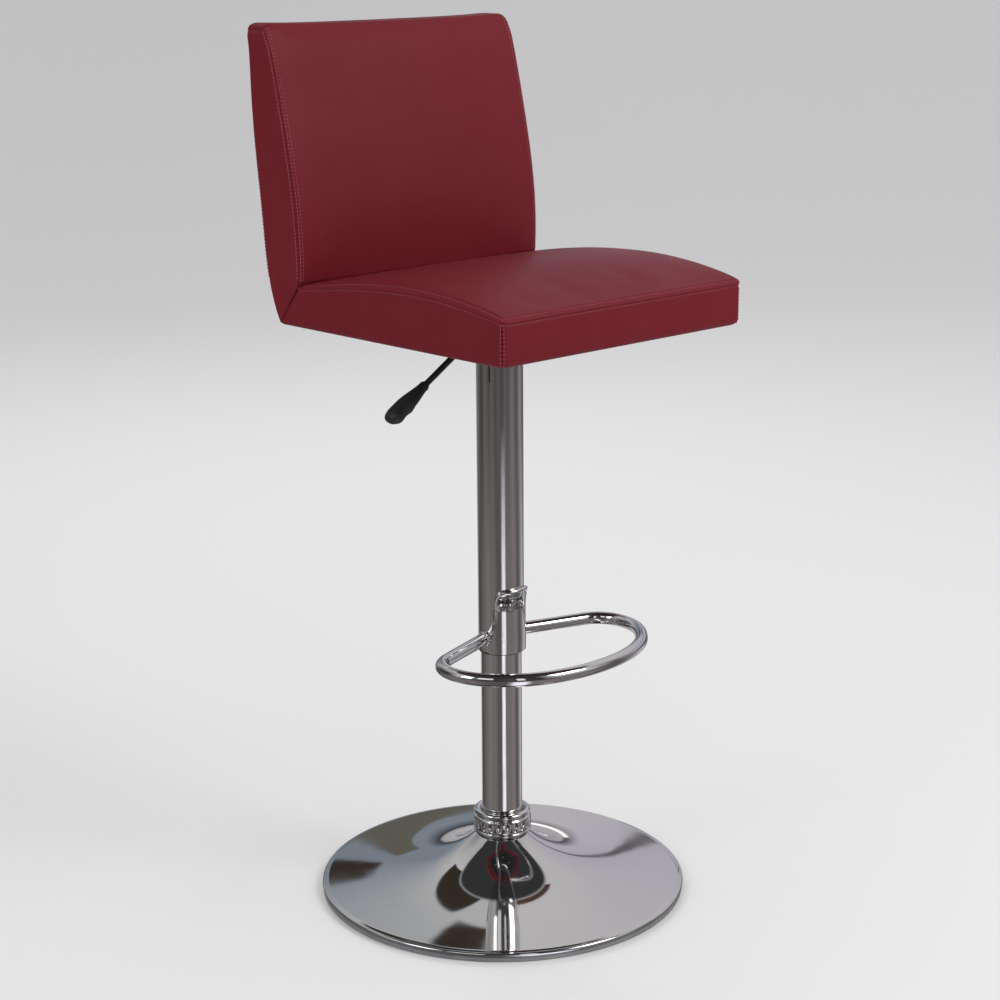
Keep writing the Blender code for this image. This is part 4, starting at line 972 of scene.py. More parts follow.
    def _dimples(self) -> bpy.types.NodeTree:
        """Row of oval hollows pressed into a turned band."""
        kit, start, end = self._start(
            "Dimple row",
            [
                TreeInput("Count", "NodeSocketFloat", 18.0),
                TreeInput("Depth", "NodeSocketFloat", 0.0012),
                TreeInput("Level", "NodeSocketFloat", 0.09),
                TreeInput("Half Height", "NodeSocketFloat", 0.008),
                TreeInput("Share", "NodeSocketFloat", 0.34),
                TreeInput("Least Radius", "NodeSocketFloat", 0.03),
                TreeInput("Material", "NodeSocketMaterial"),
            ],
        )
        place = kit.add("GeometryNodeInputPosition")
        split = kit.add("ShaderNodeSeparateXYZ")
        kit.link(place.outputs[0], split.inputs[0])
        x, y, z = split.outputs
        radius = kit.math("SQRT", kit.math("MULTIPLY_ADD", x, x, kit.math("MULTIPLY", y, y)))
        turn = kit.math("DIVIDE", kit.math("ARCTAN2", y, x), 2.0 * math.pi)
        cell = kit.math("FRACT", kit.math("MULTIPLY_ADD", turn, start.outputs["Count"], 40.0))
        across = kit.math("DIVIDE", kit.math("SUBTRACT", cell, 0.5), start.outputs["Share"])
        up = kit.math("DIVIDE", kit.math("SUBTRACT", z, start.outputs["Level"]), start.outputs["Half Height"])
        spread = kit.math("MULTIPLY_ADD", across, across, kit.math("MULTIPLY", up, up))
        inside = kit.math("SUBTRACT", 1.0, spread, clamp=True)
        bowl = kit.math("MULTIPLY", kit.math("SQRT", inside), kit.ramp(inside, 0.0, 0.25))
        outer = kit.math("GREATER_THAN", radius, start.outputs["Least Radius"])
        depth = kit.math("MULTIPLY", kit.math("MULTIPLY", bowl, outer), start.outputs["Depth"])
        share = kit.math("DIVIDE", kit.math("SUBTRACT", radius, depth), radius)
        join = kit.add("ShaderNodeCombineXYZ")
        kit.link(kit.math("MULTIPLY", x, share), join.inputs[0])
        kit.link(kit.math("MULTIPLY", y, share), join.inputs[1])
        kit.link(z, join.inputs[2])
        move = kit.add("GeometryNodeSetPosition")
        kit.link(start.outputs["Geometry"], move.inputs["Geometry"])
        kit.link(join.outputs[0], move.inputs["Position"])
        return self._close(kit, start, end, move.outputs[0])

    def _staples(self) -> bpy.types.NodeTree:
        """Wire staples along the edges of a line mesh."""
        kit, start, end = self._start(
            "Staple row",
            [
                TreeInput("Pitch", "NodeSocketFloat", 0.026),
                TreeInput("Length", "NodeSocketFloat", 0.010),
                TreeInput("Thickness", "NodeSocketFloat", 0.0009),
                TreeInput("Material", "NodeSocketMaterial"),
            ],
        )
        wire = kit.add("GeometryNodeMeshCylinder", in_Vertices=6, in_Radius=0.5, in_Depth=1.0)
        size = kit.add("ShaderNodeCombineXYZ")
        kit.link(start.outputs["Thickness"], size.inputs[0])
        kit.link(start.outputs["Thickness"], size.inputs[1])
        kit.link(start.outputs["Length"], size.inputs[2])
        bar = kit.add("GeometryNodeTransform")
        kit.link(wire.outputs["Mesh"], bar.inputs[0])
        kit.link(size.outputs[0], bar.inputs["Scale"])
        return self._close(kit, start, end, self._along(kit, start, bar.outputs[0]), False)

    def run(self, name: str, item: bpy.types.Object, tree: bpy.types.NodeTree, **values: object) -> bpy.types.Object:
        """Apply a tree to an object and keep the plain result.

        Args:
            name: Name of the result.
            item: Object the tree reads, which is used up.
            tree: The tree.
            **values: Its inputs by name, with underscores read as spaces.

        Returns:
            The plain mesh object.
        """
        modifier = item.modifiers.new("Shape", "NODES")
        modifier.node_group = tree
        for socket in tree.interface.items_tree:
            if socket.item_type == "SOCKET" and socket.in_out == "INPUT":
                key = socket.name.replace(" ", "_").lower()
                if key in values:
                    modifier[socket.identifier] = values[key]
        return self.workshop.settle(item, name)

    @staticmethod
    def line_object(name: str, lines: Sequence[Sequence[Sequence[float]]], closed: bool = False) -> bpy.types.Object:
        """Object made of open or closed lines of edges.

        Args:
            name: Its name.
            lines: Points of each line.
            closed: Whether each line joins its own start.

        Returns:
            The object.
        """
        points: list[tuple[float, ...]] = []
        edges: list[tuple[int, int]] = []
        for line in lines:
            first = len(points)
            points += [tuple(map(float, point)) for point in line]
            edges += [(index, index + 1) for index in range(first, len(points) - 1)]
            if closed:
                edges.append((len(points) - 1, first))
        mesh = bpy.data.meshes.new(name)
        mesh.from_pydata(points, edges, [])
        item = bpy.data.objects.new(name, mesh)
        bpy.context.collection.objects.link(item)
        return item


# ------------------------------------------------------------------ base


@dataclass
class Base:
    """Trumpet-shaped chrome base with its ring and trim collar."""

    workshop: Workshop
    tools: GeometryTools
    radius: float = 0.2255
    neck: float = 0.0305
    neck_top: float = 0.0865
    wall: float = 0.0018
    collar_low: float = 0.0715
    collar_radius: float = 0.0362
    collar_height: float = 0.0295
    bore: float = 0.0253
    dimples: float = 22.0

    def dish_line(self) -> list[tuple[float, float]]:
        """Outer line of the dish from the neck to just before the rim."""
        shape = [
            (0.0, self.neck_top),
            (0.0001, 0.0715),
            (0.0030, 0.0685),
            (0.0085, 0.0635),
            (0.0165, 0.0570),
            (0.0275, 0.0496),
            (0.0400, 0.0428),
            (0.0550, 0.0362),
            (0.0720, 0.0304),
            (0.0920, 0.0253),
            (0.1150, 0.0209),
            (0.1400, 0.0174),
            (0.1660, 0.0145),
            (0.1905, 0.0121),
        ]
        scale = (self.radius - 0.0045 - self.neck) / 0.1905
        keys = [Vector((self.neck + out * scale, height, 0.0)) for out, height in shape]
        return [(point.x, point.y) for point in curve_through(keys, 5)]

    def build_dish(self) -> None:
        """Spun shell with a rolled rim."""
        outer = self.dish_line()
        inner = []
        for index, (radius, height) in enumerate(outer):
            before, after = outer[max(index - 1, 0)], outer[min(index + 1, len(outer) - 1)]
            run = Vector((after[0] - before[0], after[1] - before[1])).normalized()
            inner.append((radius + run.y * self.wall, height - run.x * self.wall))
        inner[0] = (self.neck - self.wall, self.neck_top)
        centre = (self.radius - 0.0026, 0.0087)
        rim = []
        for step in range(15):
            angle = math.radians(100.0 - 235.0 * step / 14.0)
            rim.append((centre[0] + 0.0026 * math.cos(angle), centre[1] + 0.0026 * math.sin(angle)))
        rim.append((self.radius - 0.0050, 0.0082))
        points, faces = lathe(outer + rim + inner[::-1], 192)
        dish = self.workshop.mesh_object("trumpet_base", points, faces, Slot.CHROME)
        dish.data.set_sharp_from_angle(angle=math.radians(50.0))
        self.workshop.keep(dish, Body.BASE, Slot.CHROME, ["base_dish"])

    def build_ring(self) -> None:
        """Grey ring under the rim, with a groove round its outside."""
        outer = self.radius - 0.0011
        inner = outer - 0.0126
        profile = [
            (inner, 0.0006),
            (inner + 0.0006, 0.0),
            (outer - 0.0010, 0.0),
            (outer - 0.0003, 0.0003),
            (outer, 0.0010),
            (outer, 0.0040),
            (outer - 0.0003, 0.0046),
            (outer - 0.0010, 0.0049),
            (outer - 0.0012, 0.0057),
            (inner + 0.0004, 0.0057),
            (inner, 0.0053),
        ]
        points, faces = lathe(profile, 192)
        ring = self.workshop.mesh_object("floor_ring_finished", points, faces, Slot.GREY_RUBBER)
        ring.data.set_sharp_from_angle(angle=math.radians(35.0))
        self.workshop.keep(ring, Body.BASE, Slot.GREY_RUBBER, ["floor_ring"])

    def build_collar(self) -> None:
        """Trim collar with a row of dimples and a rounded lip."""
        low, bulge = self.collar_low, self.collar_radius
        outline = [
            (bulge - 0.0030, low - 0.0010),
            (bulge - 0.0018, low - 0.0008),
            (bulge - 0.0009, low + 0.0002),
            (bulge - 0.0005, low + 0.0018),
            (bulge - 0.0008, low + 0.0034),
            (bulge - 0.0016, low + 0.0044),
            (bulge - 0.0008, low + 0.0056),
            (bulge - 0.0002, low + 0.0074),
            (bulge, low + 0.0105),
            (bulge, low + 0.0140),
            (bulge - 0.0002, low + 0.0170),
            (bulge - 0.0008, low + 0.0196),
            (bulge - 0.0018, low + 0.0210),
            (bulge - 0.0027, low + 0.0218),
            (bulge - 0.0022, low + 0.0228),
            (bulge - 0.0014, low + 0.0243),
            (bulge - 0.0014, low + 0.0260),
            (bulge - 0.0022, low + 0.0280),
            (bulge - 0.0038, low + 0.0292),
            (bulge - 0.0056, low + self.collar_height),
            (bulge - 0.0074, low + self.collar_height - 0.0004),
            (bulge - 0.0086, low + self.collar_height - 0.0014),
            (bulge - 0.0092, low + self.collar_height - 0.0028),
        ]
        smooth = curve_through([Vector((radius, height, 0.0)) for radius, height in outline], 5)
        profile = [(self.neck + 0.0003, low + 0.0003)] + [(point.x, point.y) for point in smooth]
        profile += [
            (self.bore + 0.0002, low + self.collar_height - 0.0034),
            (self.bore, low + self.collar_height - 0.0044),
            (self.bore, self.neck_top + 0.0003),
            (self.neck + 0.0003, self.neck_top + 0.0003),
        ]
        points, faces = lathe(profile, 360)
        raw = self.workshop.mesh_object("collar_raw", points, faces, Slot.CHROME)
        collar = self.tools.run(
            "dimpled_collar",
            raw,
            self.tools.dimples,
            count=self.dimples,
            depth=0.0020,
            level=low + 0.0134,
            half_height=0.0066,
            share=0.34,
            least_radius=bulge - 0.0030,
            material=self.workshop.materials[Slot.CHROME],
        )
        self.workshop.keep(collar, Body.BASE, Slot.CHROME, ["base_collar"])

    def build(self) -> None:
        """Build the base."""
        self.build_dish()
        self.build_ring()
        self.build_collar()


# ------------------------------------------------------------------ column and footrest


@dataclass
class Column:
    """Chrome pipes of the column, finely divided so their edges and gloss read round."""

    workshop: Workshop
    lower_radius: float = 0.0250
    lower_wall: float = 0.0020
    sleeve_radius: float = 0.0280
    sleeve_wall: float = 0.0012
    sleeve_low: float = 0.3092
    sleeve_high: float = 0.690

    def pipe(self, name: str, inner: float, outer: float, low: float, high: float, body: Body, node: str) -> None:
        """One pipe with eased edges.

        Args:
            name: Name of the piece.
            inner: Inside radius.
            outer: Outside radius.
            low: Height of its foot.
            high: Height of its head.
            body: Body it rides on.
            node: CAD node it stands for.
        """
        ease = 0.0004
        profile = [(inner, low + ease), (inner + ease, low), (outer - ease, low), (outer, low + ease)]
        profile += [(outer, low + (high - low) * share) for share in (0.25, 0.5, 0.75)]
        profile += [(outer, high - ease), (outer - ease, high), (inner + ease, high), (inner, high - ease)]
        points, faces = lathe(profile, 128)
        pipe = self.workshop.mesh_object(name, points, faces, Slot.CHROME)
        pipe.data.set_sharp_from_angle(angle=math.radians(30.0))
        self.workshop.keep(pipe, body, Slot.CHROME, [node])

    def build_ring(self) -> None:
        """Dark guide ring that shows as a thin line at the sleeve's foot."""
        bore = self.lower_radius + 0.0003
        inner = self.sleeve_radius - self.sleeve_wall - 0.0003
        low = self.sleeve_low
        profile = [
            (bore, low - 0.0016),
            (bore + 0.0004, low - 0.0020),
            (self.sleeve_radius - 0.0012, low - 0.0020),
            (self.sleeve_radius - 0.0006, low - 0.0017),
            (self.sleeve_radius - 0.0004, low - 0.0012),
            (self.sleeve_radius - 0.0004, low - 0.0003),
            (inner, low - 0.0003),
            (inner, low + 0.0180),
            (bore, low + 0.0180),
        ]
        points, faces = lathe(profile, 128)
        ring = self.workshop.mesh_object("sleeve_guide_ring", points, faces, Slot.BLACK_PLASTIC)
        ring.data.set_sharp_from_angle(angle=math.radians(40.0))
        self.workshop.keep(ring, Body.SEAT, Slot.BLACK_PLASTIC, ["sleeve_ring"])

    def build(self) -> None:
        """Build the pipes and the ring."""
        inner = self.lower_radius - self.lower_wall
        self.pipe("column_tube", inner, self.lower_radius, 0.0035, 0.452, Body.BASE, "lower_column")
        inner = self.sleeve_radius - self.sleeve_wall
        low, high = self.sleeve_low, self.sleeve_high
        self.pipe("sleeve_tube", inner, self.sleeve_radius, low, high, Body.SEAT, "upper_sleeve")
        self.build_ring()


@dataclass
class Footrest:
    """Bent tube and the half shell with a rolled lip that carries it."""

    workshop: Workshop
    tools: GeometryTools
    tube: float = 0.0078
    level: float = 0.3265
    half_width: float = 0.142
    reach: float = 0.167
    sleeve: float = 0.0280
    shell: float = 0.0018
    foot: float = 0.3092
    height: float = 0.0775
    top_angle: float = math.radians(56.0)
    low_angle: float = math.radians(74.0)

    def path(self) -> list[Vector]:
        """Centre line from the left arm round the front to the right arm."""
        half, reach = self.half_width, self.reach
        right = [
            (0.0302, -0.0005),
            (0.060, -0.0105),
            (half * 0.72, -0.0240),
            (half * 0.86, -0.0315),
            (half * 0.945, -0.0420),
            (half * 0.99, -0.0560),
            (half, -0.0715),
            (half * 0.985, -0.0870),
            (half * 0.935, -0.1040),
            (half * 0.845, -0.1210),
            (half * 0.70, -reach * 0.835),
            (half * 0.50, -reach * 0.925),
            (half * 0.26, -reach * 0.982),
            (0.0, -reach),
        ]
        left = [(-x, y) for x, y in right[:-1]]
        return curve_through([(x, y, self.level) for x, y in left + right[::-1]], 8)

    def build_loop(self) -> None:
        """Tube of the footrest."""
        line = self.tools.line_object("footrest_line", [self.path()])
        chrome = self.workshop.materials[Slot.CHROME]
        loop = self.tools.run(
            "footrest_tube", line, self.tools.pipe, radius=self.tube, sides=36, material=chrome
        )
        self.workshop.keep(loop, Body.SEAT, Slot.CHROME, ["footrest_loop"])

    def build_welds(self) -> None:
        """Uneven weld bead round each arm where it meets the shell."""
        for side, name in ((-1.0, "weld_left"), (1.0, "weld_right")):
            start = Vector((side * 0.0205, 0.0028, self.level))
            ahead = (Vector((side * 0.060, -0.0105, self.level)) - start).normalized()
            across = ahead.cross(Vector((0.0, 0.0, 1.0))).normalized()
            up = Vector((0.0, 0.0, 1.0))
            points: list[Point] = []
            faces = []
            rings, sides = 72, 10
            for ring in range(rings):
                angle = 2.0 * math.pi * ring / rings
                out = up * math.cos(angle) + across * math.sin(angle)
                arm = self.tube + 0.0001
                hull = self.sleeve + self.shell + 0.0004
                spot = start + out * arm
                flat = Vector((spot.x, spot.y))
                along = Vector((ahead.x, ahead.y))
                reach = -flat.dot(along) + math.sqrt(max(1e-9, flat.dot(along) ** 2 - flat.dot(flat) + hull * hull))
                centre = spot + ahead * reach
                lump = 0.0017 + 0.00035 * math.sin(9.0 * angle + side) + 0.0002 * math.sin(16.0 * angle)
                for step in range(sides):
                    turn = 2.0 * math.pi * step / sides
                    points.append(tuple(centre + out * lump * math.cos(turn) + ahead * lump * 1.15 * math.sin(turn)))
            for ring in range(rings):
                other = (ring + 1) % rings
                for step in range(sides):
                    after = (step + 1) % sides
                    low, high = ring * sides, other * sides
                    faces.append([low + step, low + after, high + after, high + step])
            bead = self.workshop.mesh_object(name, points, faces, Slot.CHROME)
            self.workshop.keep(bead, Body.SEAT, Slot.CHROME)

    def edge_angle(self, share: float) -> float:
        """Half angle of the shell at a share of its height.

        Args:
            share: From 0 at the foot to 1 at the top.

        Returns:
            Half angle in radians.
        """
        blend = min(1.0, max(0.0, (share - 0.25) / 0.30))
        blend = blend * blend * (3.0 - 2.0 * blend)
        wide = self.low_angle * (1.0 - blend) + self.top_angle * blend
        if share > 0.84:
            corner = (share - 0.84) / 0.16
            wide -= math.radians(17.0) * (1.0 - math.sqrt(max(0.0, 1.0 - corner * corner)))
        return wide

    def shell_point(self, radius: float, angle: float, share: float) -> Vector:
        """Point on the shell.

        Args:
            radius: Distance from the column's axis.
            angle: Angle from the front, positive toward +X.
            share: Share of the shell's height.

        Returns:
            The point.
        """
        crown = 0.0016 * max(0.0, 1.0 - (angle / self.top_angle) ** 2) * max(0.0, (share - 0.9) / 0.1)
        return Vector((radius * math.sin(angle), -radius * math.cos(angle), self.foot + self.height * share + crown))

    def build_shell(self) -> None:
        """Half shell round the front of the sleeve, flaring at its top."""
        inner = self.sleeve + 0.0003
        levels = [k / 36.0 for k in range(31)] + [0.86 + 0.14 * k / 12.0 for k in range(1, 13)]
        across = 40
        points: list[Point] = []
        for layer in (0, 1):
            for share in levels:
                wide = self.edge_angle(share)
                flare = 0.0006 * max(0.0, (share - 0.88) / 0.12) ** 2
                swell = 0.0004 * math.exp(-((share - 0.20) / 0.16) ** 2)
                for step in range(across + 1):
                    side = 2.0 * step / across - 1.0
                    ease = 0.0009 * max(0.0, (abs(side) - 0.94) / 0.06) ** 2
                    radius = inner + flare + (layer * (self.shell + swell - ease))
                    points.append(tuple(self.shell_point(radius, wide * side, share)))
        rows, width = len(levels), across + 1
        layer_size = rows * width
        faces = []
        for row in range(rows - 1):
            for step in range(across):
                low = row * width + step
                faces.append([low, low + 1, low + width + 1, low + width])
                faces.append([layer_size + index for index in (low, low + width, low + width + 1, low + 1)])
        for step in range(across):
            for row in (0, rows - 1):
                low = row * width + step
                faces.append([low, layer_size + low, layer_size + low + 1, low + 1])
        for row in range(rows - 1):
            for column in (0, across):
                low = row * width + column
                faces.append([low, low + width, layer_size + low + width, layer_size + low])
        shell = self.workshop.mesh_object("footrest_shell", points, faces, Slot.CHROME)
        shell.data.set_sharp_from_angle(angle=math.radians(50.0))
        self.workshop.keep(shell, Body.SEAT, Slot.CHROME, ["footrest_saddle"])

    def build_lip(self) -> None:
        """Rolled lip along the top of the shell and down its shoulders."""
        middle = self.sleeve + self.shell + 0.0003
        path = []
        for share in (0.66, 0.74, 0.82, 0.88, 0.93, 0.97, 0.99):
            path.append(self.shell_point(middle - 0.0012 * (1.0 - share), -self.edge_angle(share), share))
        for step in range(1, 24):
            path.append(self.shell_point(middle + 0.0007, self.edge_angle(1.0) * (step / 12.0 - 1.0), 1.0))
        for share in (0.99, 0.97, 0.93, 0.88, 0.82, 0.74, 0.66):
            path.append(self.shell_point(middle - 0.0012 * (1.0 - share), self.edge_angle(share), share))

        def section(along: float, angle: float) -> tuple[float, float]:
            """Thick round the top, fading out down both shoulders."""
            fade = min(1.0, along / 0.22, (1.0 - along) / 0.22)
            fade = 0.28 + 0.72 * math.sin(0.5 * math.pi * fade)
            return 0.0025 * fade, 0.0020 * fade

        points, faces = sweep(curve_through(path, 3), 18, section)
        lip = self.workshop.mesh_object("shell_lip", points, faces, Slot.CHROME)
        self.workshop.keep(lip, Body.SEAT, Slot.CHROME)

    def build(self) -> None:
        """Build the footrest."""
        self.build_loop()
        self.build_welds()
        self.build_shell()
        self.build_lip()


# ------------------------------------------------------------------ lever


@dataclass
class Lever:
    """Release lever: a bent rod and its grip."""

    workshop: Workshop
    level: float = 0.6985
    rod: float = 0.0036
    bend: float = -0.044
    slope: float = 0.62
    start: float = -0.116
    end: float = -0.172

    def point(self, x: float) -> Vector:
        """Centre of the rod at a distance out from the column."""
        drop = (x - self.bend) * self.slope if x < self.bend else 0.0
        return Vector((x, 0.0, self.level + drop))

    def build_rod(self) -> None:
        """Bent rod from over the valve pin to inside the grip."""
        corner = self.point(self.bend)
        entry, leave = corner + Vector((0.009, 0.0, 0.0)), self.point(self.bend - 0.009)
        path = [Vector((0.0045, 0.0, self.level)), Vector((-0.012, 0.0, self.level)), Vector((-0.026, 0.0, self.level))]
        for step in range(15):
            t = step / 14.0
            path.append(entry * (1 - t) ** 2 + corner * 2 * t * (1 - t) + leave * t * t)
        path += [self.point(-0.075), self.point(-0.100), self.point(self.end + 0.010)]
        points, faces = sweep(path, 24, lambda along, angle: (self.rod, self.rod))
        rod = self.workshop.mesh_object("lever_bar", points, faces, Slot.BLACK_PAINT)
        rod.data.set_sharp_from_angle(angle=math.radians(50.0))
        self.workshop.keep(rod, Body.LEVER, Slot.BLACK_PAINT, ["lever_rod"])

    def build_grip(self) -> None:
        """Grip with finger waves underneath, a collar at its mouth and a parting line."""
        start, end = self.point(self.start), self.point(self.end)
        rings = 96
        line = [start + (end - start) * (k / rings) for k in range(rings + 1)]

        def section(along: float, angle: float) -> tuple[float, float]:
            """Outline of the grip round its section."""
            mouth = min(1.0, along / 0.05)
            tip = min(1.0, (1.0 - along) / 0.20)
            cap = min(0.86 + 0.14 * mouth, 0.40 + 0.60 * math.sqrt(max(0.0, 1.0 - (1.0 - tip) ** 2)))
            share = min(1.0, along / 0.62)
            spread = share * share * (3.0 - 2.0 * share)
            down = max(0.0, -math.cos(angle))
            grooves = min(1.0, max(0.0, (along - 0.36) / 0.12))
            high = 0.0056 + 0.0034 * spread
            high += 0.0013 * down * grooves * math.cos(2.0 * math.pi * (3.6 * along - 0.10))
            high -= 0.0012 * spread * math.exp(-((math.sin(angle) / 0.30) ** 2)) * max(0.0, math.cos(angle))
            seam = 0.00022 * math.exp(-((math.cos(angle) * 9.0) ** 2))
            collar = 0.0005 * math.exp(-(((along - 0.045) / 0.016) ** 2))
            return (high + collar) * cap, (0.0056 + 0.0070 * spread + collar) * cap + seam

        points, faces = sweep(line, 48, section)
        grip = self.workshop.mesh_object("lever_handle", points, faces, Slot.BLACK_PLASTIC)
        grip.data.set_sharp_from_angle(angle=math.radians(60.0))
        self.workshop.keep(grip, Body.LEVER, Slot.BLACK_PLASTIC, ["lever_grip"])

    def build(self) -> None:
        """Build the lever."""
        self.build_rod()
        self.build_grip()


# ------------------------------------------------------------------ upholstery


@dataclass(frozen=True)
class AxisRows:
    """Positions of the grid lines along one side of a padded block."""

    half: float
    low_radius: float
    high_radius: float
    low_arcs: tuple[float, ...]
    high_arcs: tuple[float, ...]
    pitch: float
    extra: tuple[float, ...] = ()

    @staticmethod
    def _inset(arc: float, radius: float) -> float:
        """Distance from the block's face for a distance measured over the rounded edge."""
        quarter = radius * math.pi / 4.0
        if arc < quarter:
            return radius * (1.0 - math.tan(math.pi / 4.0 - arc / radius))
        return radius + arc - quarter

    def values(self) -> np.ndarray:
        """Sorted positions of all lines."""
        low = [-self.half + self._inset(arc, self.low_radius) for arc in self.low_arcs]
        high = [self.half - self._inset(arc, self.high_radius) for arc in self.high_arcs]
        start, end = max(low), min(high)
        count = max(2, round((end - start) / self.pitch))
        middle = [start + (end - start) * k / count for k in range(1, count)]
        middle = [value for value in middle if all(abs(value - other) > 0.0012 for other in self.extra)]
        return np.array(sorted(low + high + middle + list(self.extra)))


class BlockGrid:
    """Surface of a rounded block, cut into rows along its three sides."""

    def __init__(self, rows: Sequence[AxisRows]) -> None:
        """Lay out the vertices and faces.

        Args:
            rows: Grid lines along X, Y and Z.
        """
        self.rows = list(rows)
        self.lines = [row.values() for row in rows]
        self.count = [len(line) for line in self.lines]
        nx, ny, nz = self.count
        keys: dict[tuple[int, int, int], int] = {}
        faces: list[list[int]] = []

        def vertex(i: int, j: int, k: int) -> int:
            """Index of a surface vertex, added when new."""
            return keys.setdefault((i, j, k), len(keys))

        def sheet(axis: int, end: int) -> None:
            """Add the faces of one side of the block."""
            others = [a for a in range(3) if a != axis]
            for a in range(self.count[others[0]] - 1):
                for b in range(self.count[others[1]] - 1):
                    quad = []
                    for da, db in ((0, 0), (1, 0), (1, 1), (0, 1)):
                        key = [0, 0, 0]
                        key[axis] = end
                        key[others[0]] = a + da
                        key[others[1]] = b + db
                        quad.append(vertex(*key))
                    faces.append(quad)

        for axis, size in enumerate((nx, ny, nz)):
            sheet(axis, 0)
            sheet(axis, size - 1)
        self.keys = keys
        self.index = np.array(list(keys.keys()))
        self.faces = faces

    def flat(self) -> np.ndarray:
        """Positions on the rounded block before it is bent into shape."""
        place = np.stack([self.lines[axis][self.index[:, axis]] for axis in range(3)], axis=1)
        inner = np.zeros_like(place)
        pull = np.zeros_like(place)
        reach = np.zeros_like(place)
        for axis, row in enumerate(self.rows):
            value = place[:, axis]
            high = value > row.half - row.high_radius
            low = value < -row.half + row.low_radius
            inner[:, axis] = np.where(high, row.half - row.high_radius, np.where(low, -row.half + row.low_radius, value))
            reach[:, axis] = np.where(high, row.high_radius, np.where(low, row.low_radius, 0.0))
            safe = np.where(reach[:, axis] > 0.0, reach[:, axis], 1.0)
            pull[:, axis] = np.where(reach[:, axis] > 0.0, (value - inner[:, axis]) / safe, 0.0)
        length = np.maximum(np.linalg.norm(pull, axis=1, keepdims=True), 1e-9)
        return inner + pull / length * np.abs(pull).max(axis=1, keepdims=True) * reach

    def sample(self, field_values: np.ndarray, other: BlockGrid) -> np.ndarray:
        """Carry a field from this grid's vertices to another grid on the same block.

        Args:
            field_values: One vector for each of this grid's vertices.
            other: Grid that receives the field.

        Returns:
            One vector for each of the other grid's vertices.
        """
        result = np.zeros((len(other.index), field_values.shape[1]))
        weight = np.zeros(len(other.index))
        for axis in range(3):
            others = [a for a in range(3) if a != axis]
            for end in (0, 1):
                mine = 0 if end == 0 else self.count[axis] - 1
                theirs = 0 if end == 0 else other.count[axis] - 1
                picked = np.where(other.index[:, axis] == theirs)[0]
                table = np.zeros((self.count[others[0]], self.count[others[1]], field_values.shape[1]))
                for key, number in self.keys.items():
                    if key[axis] == mine:
                        table[key[others[0]], key[others[1]]] = field_values[number]
                first = self.lines[others[0]]
                second = self.lines[others[1]]
                u = other.lines[others[0]][other.index[picked, others[0]]]
                v = other.lines[others[1]][other.index[picked, others[1]]]
                a = np.clip(np.searchsorted(first, u) - 1, 0, len(first) - 2)
                b = np.clip(np.searchsorted(second, v) - 1, 0, len(second) - 2)
                s = ((u - first[a]) / (first[a + 1] - first[a]))[:, None]
                t = ((v - second[b]) / (second[b + 1] - second[b]))[:, None]
                s, t = np.clip(s, 0.0, 1.0), np.clip(t, 0.0, 1.0)
                low = table[a, b] * (1 - s) + table[a + 1, b] * s
                high = table[a, b + 1] * (1 - s) + table[a + 1, b + 1] * s
                result[picked] += low * (1 - t) + high * t
                weight[picked] += 1.0
        return result / np.maximum(weight, 1.0)[:, None]


@dataclass(frozen=True)
class SeamShape:
    """How a sewn edge looks across its line: a groove, a raised strip and a stitched groove."""

    groove: float = 0.0011
    groove_width: float = 0.0011
    strip: float = 0.0
    strip_width: float = 0.0062
    second: float = 0.0

    def lift(self, distance: np.ndarray) -> np.ndarray:
        """Outward move at a distance from the seam.

        Args:
            distance: Distance over the surface from the seam line.

        Returns:
            Move along the surface's normal.
        """
        move = -self.groove * np.exp(-((distance / self.groove_width) ** 2))
        if self.strip > 0.0:
            middle = self.strip_width * 0.5
            move = move + self.strip * np.exp(-((np.abs(distance - middle) / (middle * 0.78)) ** 4))
        if self.second > 0.0:
            move = move - self.second * np.exp(-(((distance - self.strip_width) / 0.0010) ** 2))
        return move


